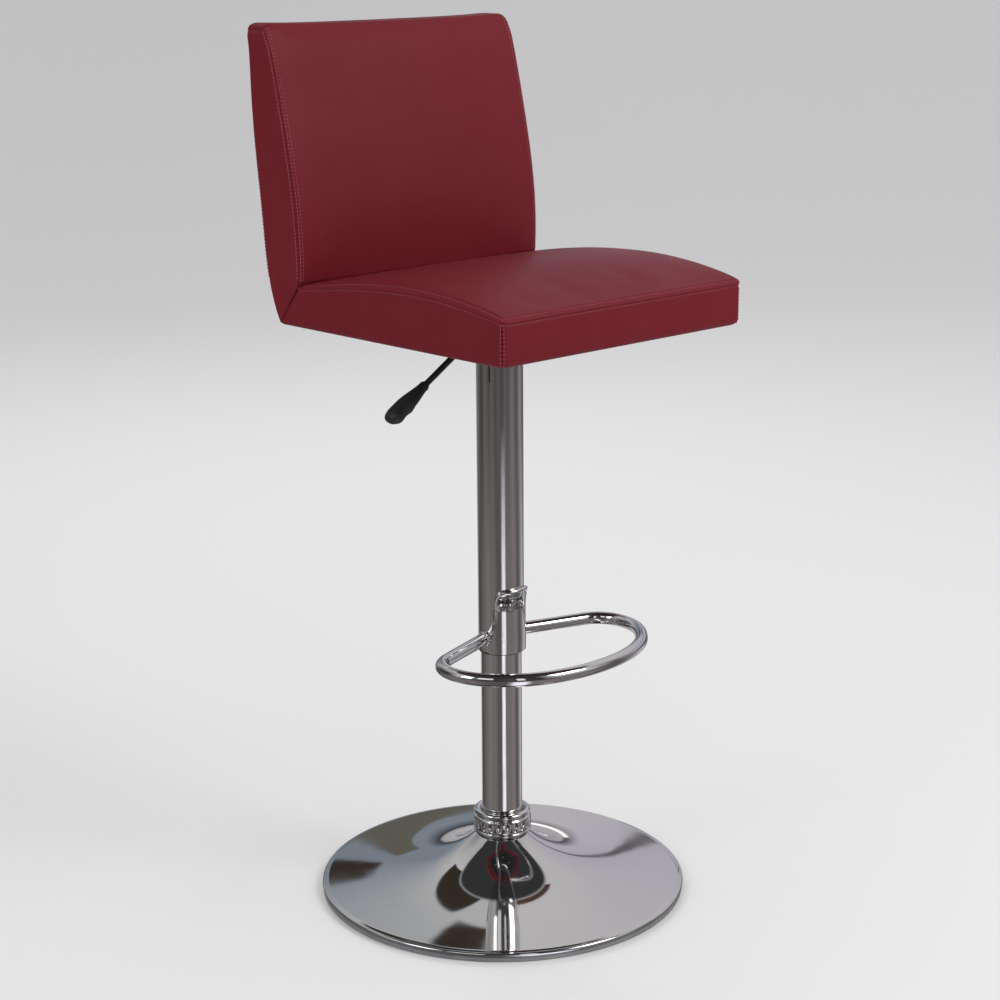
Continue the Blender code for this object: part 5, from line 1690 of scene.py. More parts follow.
@dataclass
class PaddedBlock:
    """Foam-filled panel cushion: swelled by a cloth simulation, then sewn along its edges."""

    workshop: Workshop
    tools: GeometryTools
    name: str
    rows: tuple[AxisRows, AxisRows, AxisRows]
    coarse: tuple[AxisRows, AxisRows, AxisRows]
    warp: Callable[[np.ndarray], np.ndarray]
    held: Callable[[BlockGrid], np.ndarray]
    cap: float = 0.005
    pressure: float = 4.0
    grid: BlockGrid = field(init=False)
    points: np.ndarray = field(init=False)
    normals: np.ndarray = field(init=False)

    def swell(self) -> np.ndarray:
        """Blow the coarse block up as cloth held at its seams.

        Returns:
            How far each vertex of the coarse grid moves.
        """
        grid = BlockGrid(self.coarse)
        rest = self.warp(grid.flat())
        item = self.workshop.mesh_object(self.name + "_cloth", rest, grid.faces, Slot.VINYL)
        pins = item.vertex_groups.new(name="seams")
        held = self.held(grid)
        for number in range(len(rest)):
            if held[number] > 0.0:
                pins.add([number], float(held[number]), "REPLACE")
        cloth = item.modifiers.new("Cloth", "CLOTH")
        settings = cloth.settings
        settings.quality = 6
        settings.mass = 0.35
        settings.tension_stiffness = 22.0
        settings.compression_stiffness = 22.0
        settings.shear_stiffness = 10.0
        settings.bending_stiffness = 9.0
        settings.use_pressure = True
        settings.uniform_pressure_force = self.pressure
        settings.shrink_min = -0.004
        settings.vertex_group_mass = pins.name
        settings.effector_weights.gravity = 0.0
        cloth.collision_settings.use_collision = False
        cloth.point_cache.frame_start = 1
        cloth.point_cache.frame_end = 20
        scene = bpy.context.scene
        for frame in range(1, 21):
            scene.frame_set(frame)
        graph = bpy.context.evaluated_depsgraph_get()
        result = item.evaluated_get(graph).to_mesh()
        moved = np.empty(len(rest) * 3)
        result.vertices.foreach_get("co", moved)
        moved = moved.reshape(-1, 3)
        item.evaluated_get(graph).to_mesh_clear()
        scene.frame_set(1)
        mesh = item.data
        bpy.data.objects.remove(item, do_unlink=True)
        bpy.data.meshes.remove(mesh)
        shift = self.relax(moved - rest, grid, held)
        size = np.linalg.norm(shift, axis=1, keepdims=True)
        LOG.info("%s swelled by up to %.1f mm before the cap", self.name, float(size.max()) * 1000.0)
        return shift * np.tanh(size / self.cap) / np.maximum(size, 1e-9) * self.cap, grid

    @staticmethod
    def relax(shift: np.ndarray, grid: BlockGrid, held: np.ndarray, rounds: int = 3) -> np.ndarray:
        """Ease sharp wrinkles out of the swelling, as thick vinyl does.

        Args:
            shift: Move of each vertex.
            grid: Their grid.
            held: Share by which each is held.
            rounds: How often each move is averaged with its neighbours'.

        Returns:
            The eased moves.
        """
        quads = np.array(grid.faces)
        ends = np.concatenate([quads[:, [0, 1]], quads[:, [1, 2]], quads[:, [2, 3]], quads[:, [3, 0]]])
        for _ in range(rounds):
            total = np.zeros_like(shift)
            count = np.zeros(len(shift))
            for first, second in ((0, 1), (1, 0)):
                np.add.at(total, ends[:, first], shift[ends[:, second]])
                np.add.at(count, ends[:, first], 1.0)
            mean = total / np.maximum(count, 1.0)[:, None]
            shift = np.where(held[:, None] > 0.5, shift, shift * 0.4 + mean * 0.6)
        return shift

    def shape(self) -> None:
        """Find the swelled surface on the fine grid and its normals."""
        self.grid = BlockGrid(self.rows)
        shift, coarse = self.swell()
        self.points = self.warp(self.grid.flat()) + coarse.sample(shift, self.grid)
        self.normals = self.surface_normals()

    def surface_normals(self) -> np.ndarray:
        """Outward normal at each vertex."""
        quads = np.array(self.grid.faces)
        corner = self.points[quads]
        cross = np.cross(corner[:, 2] - corner[:, 0], corner[:, 3] - corner[:, 1])
        centre = self.points.mean(axis=0)
        away = corner.mean(axis=1) - centre
        cross *= np.sign((cross * away).sum(axis=1, keepdims=True))
        normal = np.zeros_like(self.points)
        for column in range(4):
            np.add.at(normal, quads[:, column], cross)
        return normal / np.maximum(np.linalg.norm(normal, axis=1, keepdims=True), 1e-12)

    def line(self, fixed: dict[int, int], along: int, lift: float = 0.0) -> np.ndarray:
        """Points of one grid line on the surface.

        Args:
            fixed: Grid index along each of two axes.
            along: Axis the line runs along.
            lift: Distance above the surface.

        Returns:
            The points in order.
        """
        numbers = []
        for step in range(self.grid.count[along]):
            key = [0, 0, 0]
            key[along] = step
            for axis, value in fixed.items():
                key[axis] = value if value >= 0 else self.grid.count[axis] + value
            if tuple(key) in self.grid.keys:
                numbers.append(self.grid.keys[tuple(key)])
        return self.points[numbers] + self.normals[numbers] * lift

    def finish(self, replaces: Sequence[str], fill: float) -> bpy.types.Object:
        """Args:
            replaces: CAD nodes it stands for.
            fill: How full the cushion is; not used.

        Returns:
            The cushion.
        """
        item = self.workshop.mesh_object(self.name, self.points, self.grid.faces, Slot.VINYL)
        smooth = item.modifiers.new("Smooth", "SUBSURF")
        smooth.levels = 1
        smooth.render_levels = 1
        self.workshop.keep(item, Body.SEAT, Slot.VINYL, replaces)
        return item


def arc_to_edge(value: np.ndarray, row: AxisRows, high: bool) -> np.ndarray:
    """Distance over the surface from a block's edge line.

    Args:
        value: Positions along the axis on the flat block's grid.
        row: That axis.
        high: Whether the edge is at the upper end.

    Returns:
        Distances in metres.
    """
    radius = row.high_radius if high else row.low_radius
    inset = (row.half - value) if high else (value + row.half)
    turn = np.arctan(np.clip(1.0 - inset / radius, 0.0, 1.0))
    return np.where(inset < radius, radius * (math.pi / 4.0 - turn), inset - radius + radius * math.pi / 4.0)


def ripple(position: np.ndarray, seed: float) -> np.ndarray:
    """Gentle uneven wave along a seam.

    Args:
        position: Distance along the seam.
        seed: Shifts the wave.

    Returns:
        Values from about -1 to 1.
    """
    wave = np.sin(position * 480.0 + seed) * 0.5 + np.sin(position * 271.0 + 2.3 * seed) * 0.35
    return wave + np.sin(position * 811.0 + 1.7 * seed) * 0.25


@dataclass
class Seat:
    """Seat cushion with a raised, double-stitched strip round its top edge."""

    workshop: Workshop
    tools: GeometryTools
    width: float = 0.385
    front: float = -0.2095
    rear: float = 0.1745
    bottom: float = 0.7100
    front_top: float = 0.7650
    join_y: float = 0.1330
    join_z: float = 0.7620
    crown: float = 0.0192
    dome: float = 0.0065
    hem: float = 0.030
    inset: float = 0.0014
    edge: float = 0.0050
    corner: float = 0.0100
    foot: float = 0.0080

    def rows(self, fine: bool) -> tuple[AxisRows, AxisRows, AxisRows]:
        """Grid lines of the seat.

        Args:
            fine: Whether they crowd at the seams.

        Returns:
            Lines along X, Y and Z.
        """
        half_x = self.width / 2.0
        half_y = (self.rear - self.front) / 2.0
        half_z = (self.front_top - self.bottom) / 2.0
        if not fine:
            arcs = (0.0, 0.0040, 0.009)
            return (
                AxisRows(half_x, self.corner, self.corner, arcs, arcs, 0.0085),
                AxisRows(half_y, self.corner, 0.0015, arcs, (0.0, 0.0015, 0.008), 0.0085),
                AxisRows(half_z, self.foot, self.edge, (0.0, 0.004, 0.009), arcs, 0.0085),
            )
        arcs = (0.0, 0.0006, 0.0012, 0.0019, 0.0028, 0.0040, 0.0054, 0.0072, 0.010)
        band = (0.0, 0.0006, 0.0012, 0.0020, 0.0031, 0.0042, 0.0051, 0.0057, 0.0062, 0.0067, 0.0073, 0.0085, 0.0105)
        opening_x = half_x - self.hem
        opening_low = -half_y + self.hem
        opening_high = half_y - (self.rear - self.join_y)
        return (
            AxisRows(
                half_x,
                self.corner,
                self.corner,
                arcs,
                arcs,
                0.0058,
                (-opening_x, -opening_x + 0.0010, opening_x - 0.0010, opening_x),
            ),
            AxisRows(
                half_y,
                self.corner,
                0.0015,
                arcs,
                (0.0, 0.0006, 0.0013, 0.0025, 0.005),
                0.0058,
                (opening_low, opening_low + 0.0010, opening_high - 0.0010, opening_high),
            ),
            AxisRows(half_z, self.foot, self.edge, (0.0, 0.0012, 0.0025, 0.004, 0.006, 0.0085), band, 0.0052),
        )

    def warp(self, flat: np.ndarray) -> np.ndarray:
        """Bend the block into the seat's arched, wedge-ended form.

        Args:
            flat: Positions on the rounded block.

        Returns:
            Positions in the stool's frame.
        """
        half_x = self.width / 2.0
        length = self.rear - self.front
        height = self.front_top - self.bottom
        x = flat[:, 0] * (half_x - self.inset) / half_x
        s = (flat[:, 1] + length / 2.0) / length
        t = (flat[:, 2] + height / 2.0) / height
        end = self.rear + (self.join_y - self.rear) * t
        y = self.front + self.inset + s * (end - self.front - self.inset)
        arch = self.crown * np.sin(np.pi * np.clip(s, 0.0, 1.0) ** 0.86) * 0.96
        dome = self.dome * (1.0 - (x / half_x) ** 2) * np.sin(np.pi * np.clip(s, 0.0, 1.0))
        top = self.front_top - self.inset * 0.6 + (self.join_z - self.front_top) * s + arch + dome
        z = self.bottom + t * (top - self.bottom)
        inside = (np.abs(flat[:, 0]) < half_x - self.hem - 0.0005) & (t < 0.02)
        inside &= (flat[:, 1] > -length / 2.0 + self.hem + 0.0005)
        inside &= (flat[:, 1] < length / 2.0 - (self.rear - self.join_y) - 0.0005)
        z = np.where(inside, 0.7118, z)
        return np.stack([x, y, z], axis=1)

    def held(self, grid: BlockGrid) -> np.ndarray:
        """Share by which each vertex is held: seams, the underside and the joint with the back."""
        nx, ny, nz = grid.count
        i, j, k = grid.index.T
        side = (i == 0) | (i == nx - 1)
        edges = (side & (k == nz - 1)) | (side & (j == 0)) | ((j == 0) & (k == nz - 1))
        fixed = (k == 0) | (j == ny - 1) | edges
        return np.where(fixed, 1.0, 0.0)

    def sew(self, block: PaddedBlock) -> None:
        """Press the seams into the swelled block.

        Args:
            block: The seat's cushion.
        """
        grid = block.grid
        nx, ny, nz = grid.count
        i, j, k = grid.index.T
        place = [grid.lines[axis][grid.index[:, axis]] for axis in range(3)]
        from_side = np.minimum(
            arc_to_edge(place[0], grid.rows[0], True), arc_to_edge(place[0], grid.rows[0], False)
        )
        from_front = arc_to_edge(place[1], grid.rows[1], False)
        from_rear = arc_to_edge(place[1], grid.rows[1], True)
        from_top = arc_to_edge(place[2], grid.rows[2], True)
        top = k == nz - 1
        side = (i == 0) | (i == nx - 1)
        front = j == 0
        move = np.zeros(len(i))
        plain = SeamShape(0.0008, 0.0010)
        strip = SeamShape(0.0008, 0.0009, 0.0012, 0.0062, 0.0008)
        edge = np.minimum(from_side, from_front)
        move += np.where(top, plain.lift(edge), 0.0)
        move += np.where(top, 0.0005 * np.exp(-(((edge - 0.0035) / 0.0022) ** 2)), 0.0)
        band = (side | front) & ~top & (k > 0)
        move += np.where(band, strip.lift(from_top), 0.0)
        corner = np.where(side, from_front, from_side)
        below = np.clip((from_top - 0.0065) / 0.0025, 0.0, 1.0)
        move += np.where(band, SeamShape(0.0012, 0.0010).lift(corner) * below, 0.0)
        move += np.where(band, 0.0005 * np.exp(-(((corner - 0.0032) / 0.0020) ** 2)) * below, 0.0)
        run = np.where(side, block.points[:, 1], block.points[:, 0])
        pucker = 0.00012 * ripple(run, 0.7) * np.exp(-(((from_top - 0.009) / 0.006) ** 2))
        move += np.where(band, pucker, 0.0)
        pucker = 0.00010 * ripple(run + 0.05, 2.1) * np.exp(-(((edge - 0.005) / 0.004) ** 2))
        move += np.where(top, pucker, 0.0)
        fold = 0.0009 * np.exp(-((np.hypot(corner - 0.016, from_top - 0.020) / 0.010) ** 2))
        move -= np.where(band & side, fold, 0.0)
        seam = 0.0011 * np.exp(-((from_rear / 0.0010) ** 2))
        move -= np.where((side & (k > 0)) | top, seam, 0.0)
        block.points = block.points + block.normals * move[:, None]
        block.normals = block.surface_normals()

    def stitch(self, block: PaddedBlock) -> None:
        """Lay thread along the strip and the front corners.

        Args:
            block: The seat's cushion.
        """
        band = [float(value) for value in block.grid.rows[2].high_arcs]
        lower = -1 - band.index(0.0062)
        arcs = [float(value) for value in block.grid.rows[0].high_arcs]
        lift = 0.00025
        lines = []
        for level, gap in ((lower, 0.0), (-1, 0.0)):
            lines.append(block.line({1: 0, 2: level}, 0, lift + gap))
            for side in (0, -1):
                lines.append(block.line({0: side, 2: level}, 1, lift + gap))
        near = arcs.index(0.0019)
        for side in (near, -1 - near):
            lines.append(self.trim(block.line({0: side, 1: 0}, 2, lift)))
        for side in (0, -1):
            lines.append(self.trim(block.line({0: side, 1: near}, 2, lift)))
        row = self.tools.run(
            "seat_stitching",
            self.tools.line_object("seat_thread_lines", lines),
            self.tools.stitches,
            pitch=0.0042,
            length=0.0031,
            thickness=0.0010,
            material=self.workshop.thread,
        )
        self.workshop.keep(row, Body.SEAT, Slot.VINYL)

    def trim(self, line: np.ndarray) -> np.ndarray:
        """Part of an upright line between the hem and the strip."""
        keep = (line[:, 2] > self.bottom + 0.003) & (line[:, 2] < self.front_top - 0.0075)
        return line[keep]

    def build(self) -> PaddedBlock:
        """Build the seat cushion and its thread.

        Returns:
            The cushion block.
        """
        block = PaddedBlock(
            self.workshop, self.tools, "seat_cushion", self.rows(True), self.rows(False), self.warp, self.held, 0.0034
        )
        block.shape()
        self.sew(block)
        block.finish(["seat_cover", "seat_foam"], 0.9)
        self.stitch(block)
        return block


@dataclass
class Back:
    """Back cushion whose front panel wraps over the top, with double-stitched side seams."""

    workshop: Workshop
    tools: GeometryTools
    width: float = 0.385
    rear: float = 0.1745
    bottom: float = 0.7100
    join_y: float = 0.1330
    join_z: float = 0.7620
    top: float = 1.0570
    top_front: float = 0.1850
    top_rear: float = 0.2215
    corner: float = 0.013
    inset: float = 0.0014
    edge: float = 0.0055

    def rows(self, fine: bool) -> tuple[AxisRows, AxisRows, AxisRows]:
        """Grid lines of the back.

        Args:
            fine: Whether they crowd at the seams.

        Returns:
            Lines along X, Y and Z.
        """
        half_x = self.width / 2.0
        half_y = 0.022
        half_z = (self.top - self.join_z) / 2.0
        if not fine:
            arcs = (0.0, 0.0040, 0.009)
            return (
                AxisRows(half_x, self.edge, self.edge, arcs, arcs, 0.0085),
                AxisRows(half_y, self.edge, self.edge, arcs, arcs, 0.0085),
                AxisRows(half_z, 0.0015, 0.011, (0.0, 0.0015, 0.008), (0.0, 0.004, 0.008, 0.013), 0.0085),
            )
        arcs = (0.0, 0.0006, 0.0012, 0.0019, 0.0028, 0.0040, 0.0054, 0.0072, 0.010)
        return (
            AxisRows(half_x, self.edge, self.edge, arcs, arcs, 0.0060),
            AxisRows(half_y, self.edge, self.edge, arcs, arcs, 0.0052),
            AxisRows(
                half_z,
                0.0015,
                0.011,
                (0.0, 0.0006, 0.0013, 0.0025, 0.005),
                (0.0, 0.0015, 0.003, 0.0045, 0.006, 0.0075, 0.0095, 0.012, 0.016),
                0.0060,
            ),
        )

    def front_line(self, s: np.ndarray) -> tuple[np.ndarray, np.ndarray]:
        """Y and Z of the front face at a share of its height."""
        bend = np.polyfit([0.0, 0.15, 0.30, 0.45, 0.60, 0.75, 0.90, 1.0], [0.0, -0.02, 0.04, 0.175, 0.35, 0.55, 0.79, 1.0], 5)
        y = self.join_y + (self.top_front - self.join_y) * np.polyval(bend, s)
        return y, self.join_z + (self.top - self.join_z) * s

    def rear_line(self, s: np.ndarray) -> tuple[np.ndarray, np.ndarray]:
        """Y and Z of the rear face at a share of its height."""
        bend = np.polyfit([0.0, 0.06, 0.13, 0.27, 0.43, 0.60, 0.79, 1.0], [0.0, 0.22, 0.40, 0.55, 0.71, 0.83, 0.92, 1.0], 5)
        y = self.rear + (self.top_rear - self.rear) * np.polyval(bend, s)
        return y, self.bottom + (self.top - self.bottom) * s

    def warp(self, flat: np.ndarray) -> np.ndarray:
        """Bend the block into the curved, tapering back.

        Args:
            flat: Positions on the rounded block.

        Returns:
            Positions in the stool's frame.
        """
        half_x = self.width / 2.0
        height = self.top - self.join_z
        x = flat[:, 0] * (half_x - self.inset) / half_x
        t = (flat[:, 1] + 0.022) / 0.044
        s = (flat[:, 2] + height / 2.0) / height
        front_y, front_z = self.front_line(s)
        rear_y, rear_z = self.rear_line(s)
        front_y = front_y + self.inset * 0.9
        rear_y = rear_y - self.inset * 0.6
        y = front_y + (rear_y - front_y) * t
        z = front_z + (rear_z - front_z) * t
        z = z - self.inset * 0.5 * np.clip(s, 0.0, 1.0)
        start = half_x - self.corner
        beyond = np.clip(np.abs(flat[:, 0]) - start, 0.0, self.corner * 0.999)
        base = self.top - self.corner - 0.012
        limit = self.top - self.corner + np.sqrt(np.maximum(self.corner ** 2 - beyond ** 2, 0.0))
        lowered = base + (z - base) * (limit - base) / (self.top - base)
        z = np.where(z > base, lowered, z)
        return np.stack([x, y, z], axis=1)

    def held(self, grid: BlockGrid) -> np.ndarray:
        """Share by which each vertex is held: the side seams and the joint with the seat."""
        nx, ny, _ = grid.count
        i, j, k = grid.index.T
        side = (i == 0) | (i == nx - 1)
        edges = side & ((j == 0) | (j == ny - 1) | (k == grid.count[2] - 1))
        return np.where((k == 0) | edges, 1.0, 0.0)

    def sew(self, block: PaddedBlock) -> None:
        """Press the seams into the swelled block.

        Args:
            block: The back's cushion.
        """
        grid = block.grid
        nx, ny, nz = grid.count
        i, j, k = grid.index.T
        place = [grid.lines[axis][grid.index[:, axis]] for axis in range(3)]
        from_side = np.minimum(
            arc_to_edge(place[0], grid.rows[0], True), arc_to_edge(place[0], grid.rows[0], False)
        )
        from_front = arc_to_edge(place[1], grid.rows[1], False)
        from_rear = arc_to_edge(place[1], grid.rows[1], True)
        from_top = arc_to_edge(place[2], grid.rows[2], True)
        from_foot = arc_to_edge(place[2], grid.rows[2], False)
        side = (i == 0) | (i == nx - 1)
        panel = ~side & (k > 0)
        seam = SeamShape(0.0008, 0.0010)
        move = np.where(panel, seam.lift(from_side), 0.0)
        ridge = 0.0006 * np.exp(-(((from_side - 0.0030) / 0.0018) ** 2))
        second = 0.0005 * np.exp(-(((from_side - 0.0054) / 0.0009) ** 2))
        move += np.where(panel, ridge - second, 0.0)
        rim = np.minimum(np.minimum(from_front, from_rear), from_top)
        move += np.where(side, seam.lift(rim), 0.0)
        move += np.where(side, 0.0006 * np.exp(-(((rim - 0.0030) / 0.0018) ** 2)), 0.0)
        run = block.points[:, 2] + block.points[:, 1]
        near = np.where(side, rim, from_side)
        pucker = 0.00016 * ripple(run, 1.3) * np.exp(-(((near - 0.004) / 0.004) ** 2))
        move += np.where(k > 0, pucker, 0.0)
        move -= np.where(k > 0, 0.0010 * np.exp(-((from_foot / 0.0010) ** 2)), 0.0)
        block.points = block.points + block.normals * move[:, None]
        block.normals = block.surface_normals()

    def stitch(self, block: PaddedBlock) -> None:
        """Lay thread beside the side seams, front and rear.

        Args:
            block: The back's cushion.
        """
        arcs = [float(value) for value in block.grid.rows[0].high_arcs]
        lift = 0.00022
        lines = []
        inner = arcs.index(0.0019)
        outer = arcs.index(0.0054)
        for step in (inner, outer):
            for side in (step, -1 - step):
                lines.append(block.line({0: side, 1: 0}, 2, lift))
                lines.append(block.line({0: side, 1: -1}, 2, lift))
        for side in (0, -1):
            lines.append(block.line({0: side, 1: inner}, 2, lift))
        lines = [line[(line[:, 2] > self.join_z + 0.003) & (line[:, 2] < self.top - 0.006)] for line in lines]
        row = self.tools.run(
            "back_stitching",
            self.tools.line_object("back_thread_lines", lines),
            self.tools.stitches,
            pitch=0.0042,
            length=0.0031,
            thickness=0.0010,
            material=self.workshop.thread,
        )
        self.workshop.keep(row, Body.SEAT, Slot.VINYL)

    def build(self) -> PaddedBlock:
        """Build the back cushion and its thread.

        Returns:
            The cushion block.
        """
        block = PaddedBlock(
            self.workshop, self.tools, "back_cushion", self.rows(True), self.rows(False), self.warp, self.held, 0.0030
        )
        block.shape()
        self.sew(block)
        block.finish(["back_cover", "back_foam"], 0.9)
        self.stitch(block)
        return block


@dataclass
class Underside:
    """Black cloth under the seat, the staples that hold it and washers under the bolts."""

    workshop: Workshop
    tools: GeometryTools
    half_x: float = 0.162
    front: float = -0.1790
    rear: float = 0.1325
    level: float = 0.7104
    bolt_x: float = 0.055
    bolt_y: float = 0.072

    def build_cloth(self) -> None:
        """Cloth with shallow sags between its staples."""
        across, along = 56, 54
        points: list[Point] = []
        for row in range(along + 1):
            for step in range(across + 1):
                x = self.half_x * (2.0 * step / across - 1.0)
                y = self.front + (self.rear - self.front) * row / along
                edge = min(self.half_x - abs(x), y - self.front, self.rear - y)
                wave = 0.00018 * math.sin(x * 210.0) * math.sin(y * 190.0 + 0.6)
                sag = -0.0001 * math.exp(-((edge - 0.010) / 0.008) ** 2)
                points.append((x, y, self.level + 0.0002 + wave * min(1.0, edge / 0.01) + sag))
        width = across + 1
        faces = []
        for row in range(along):
            for step in range(across):
                low = row * width + step
                faces.append([low, low + 1, low + width + 1, low + width])
        cloth = self.workshop.mesh_object("underside_cloth", points, faces, Slot.BLACK_FABRIC)
        wall = cloth.modifiers.new("Thickness", "SOLIDIFY")
        wall.thickness = 0.0005
        wall.offset = 0.0
        self.workshop.keep(cloth, Body.SEAT, Slot.BLACK_FABRIC, ["dust_cover"])

    def build_staples(self) -> None:
        """Staples along all four sides."""
        inset = 0.007
        low_x, high_x = -self.half_x + inset, self.half_x - inset
        low_y, high_y = self.front + inset, self.rear - inset
        level = self.level - 0.0004
        corners = [(low_x, low_y, level), (high_x, low_y, level), (high_x, high_y, level), (low_x, high_y, level)]
        line = self.tools.line_object("staple_lines", [corners], True)
        zinc = self.workshop.materials[Slot.ZINC]
        row = self.tools.run(
            "staples", line, self.tools.staples, pitch=0.027, length=0.010, thickness=0.0008, material=zinc
        )
        self.workshop.keep(row, Body.SEAT, Slot.ZINC)

    def build_bolts(self) -> None:
        """Bolt heads with a round socket, each on a washer."""
        under = 0.7062 - 0.0003
        number = 0
        for x in (-self.bolt_x, self.bolt_x):
            for y in (-self.bolt_y, self.bolt_y):
                number += 1
                profile = [
                    (0.0, under - 0.0012),
                    (0.0016, under - 0.0012),
                    (0.0016, under - 0.0034),
                    (0.0022, under - 0.0036),
                    (0.0036, under - 0.0035),
                    (0.0050, under - 0.0029),
                    (0.0056, under - 0.0020),
                    (0.0057, under - 0.0010),
                    (0.0078, under - 0.0010),
                    (0.0078, under),
                    (0.0029, under),
                    (0.0029, 0.7224),
                    (0.0, 0.7230),
                ]
                points, faces = lathe(profile, 30)
                points = [(px + x, py + y, pz) for px, py, pz in points]
                bolt = self.workshop.mesh_object("seat_bolt_head_%d" % number, points, faces, Slot.ZINC)
                bolt.data.set_sharp_from_angle(angle=math.radians(30.0))
                self.workshop.keep(bolt, Body.SEAT, Slot.ZINC, ["seat_bolt_%d" % number])

    def build(self) -> None:
        """Build what shows from below."""
        self.build_cloth()
        self.build_staples()
        self.build_bolts()


# ------------------------------------------------------------------ setting


@dataclass(frozen=True)
class Patch:
    """One flat-toned area of the surround, as polished metal sees it."""

    left: float
    right: float
    low: float
    high: float
    colour: Point


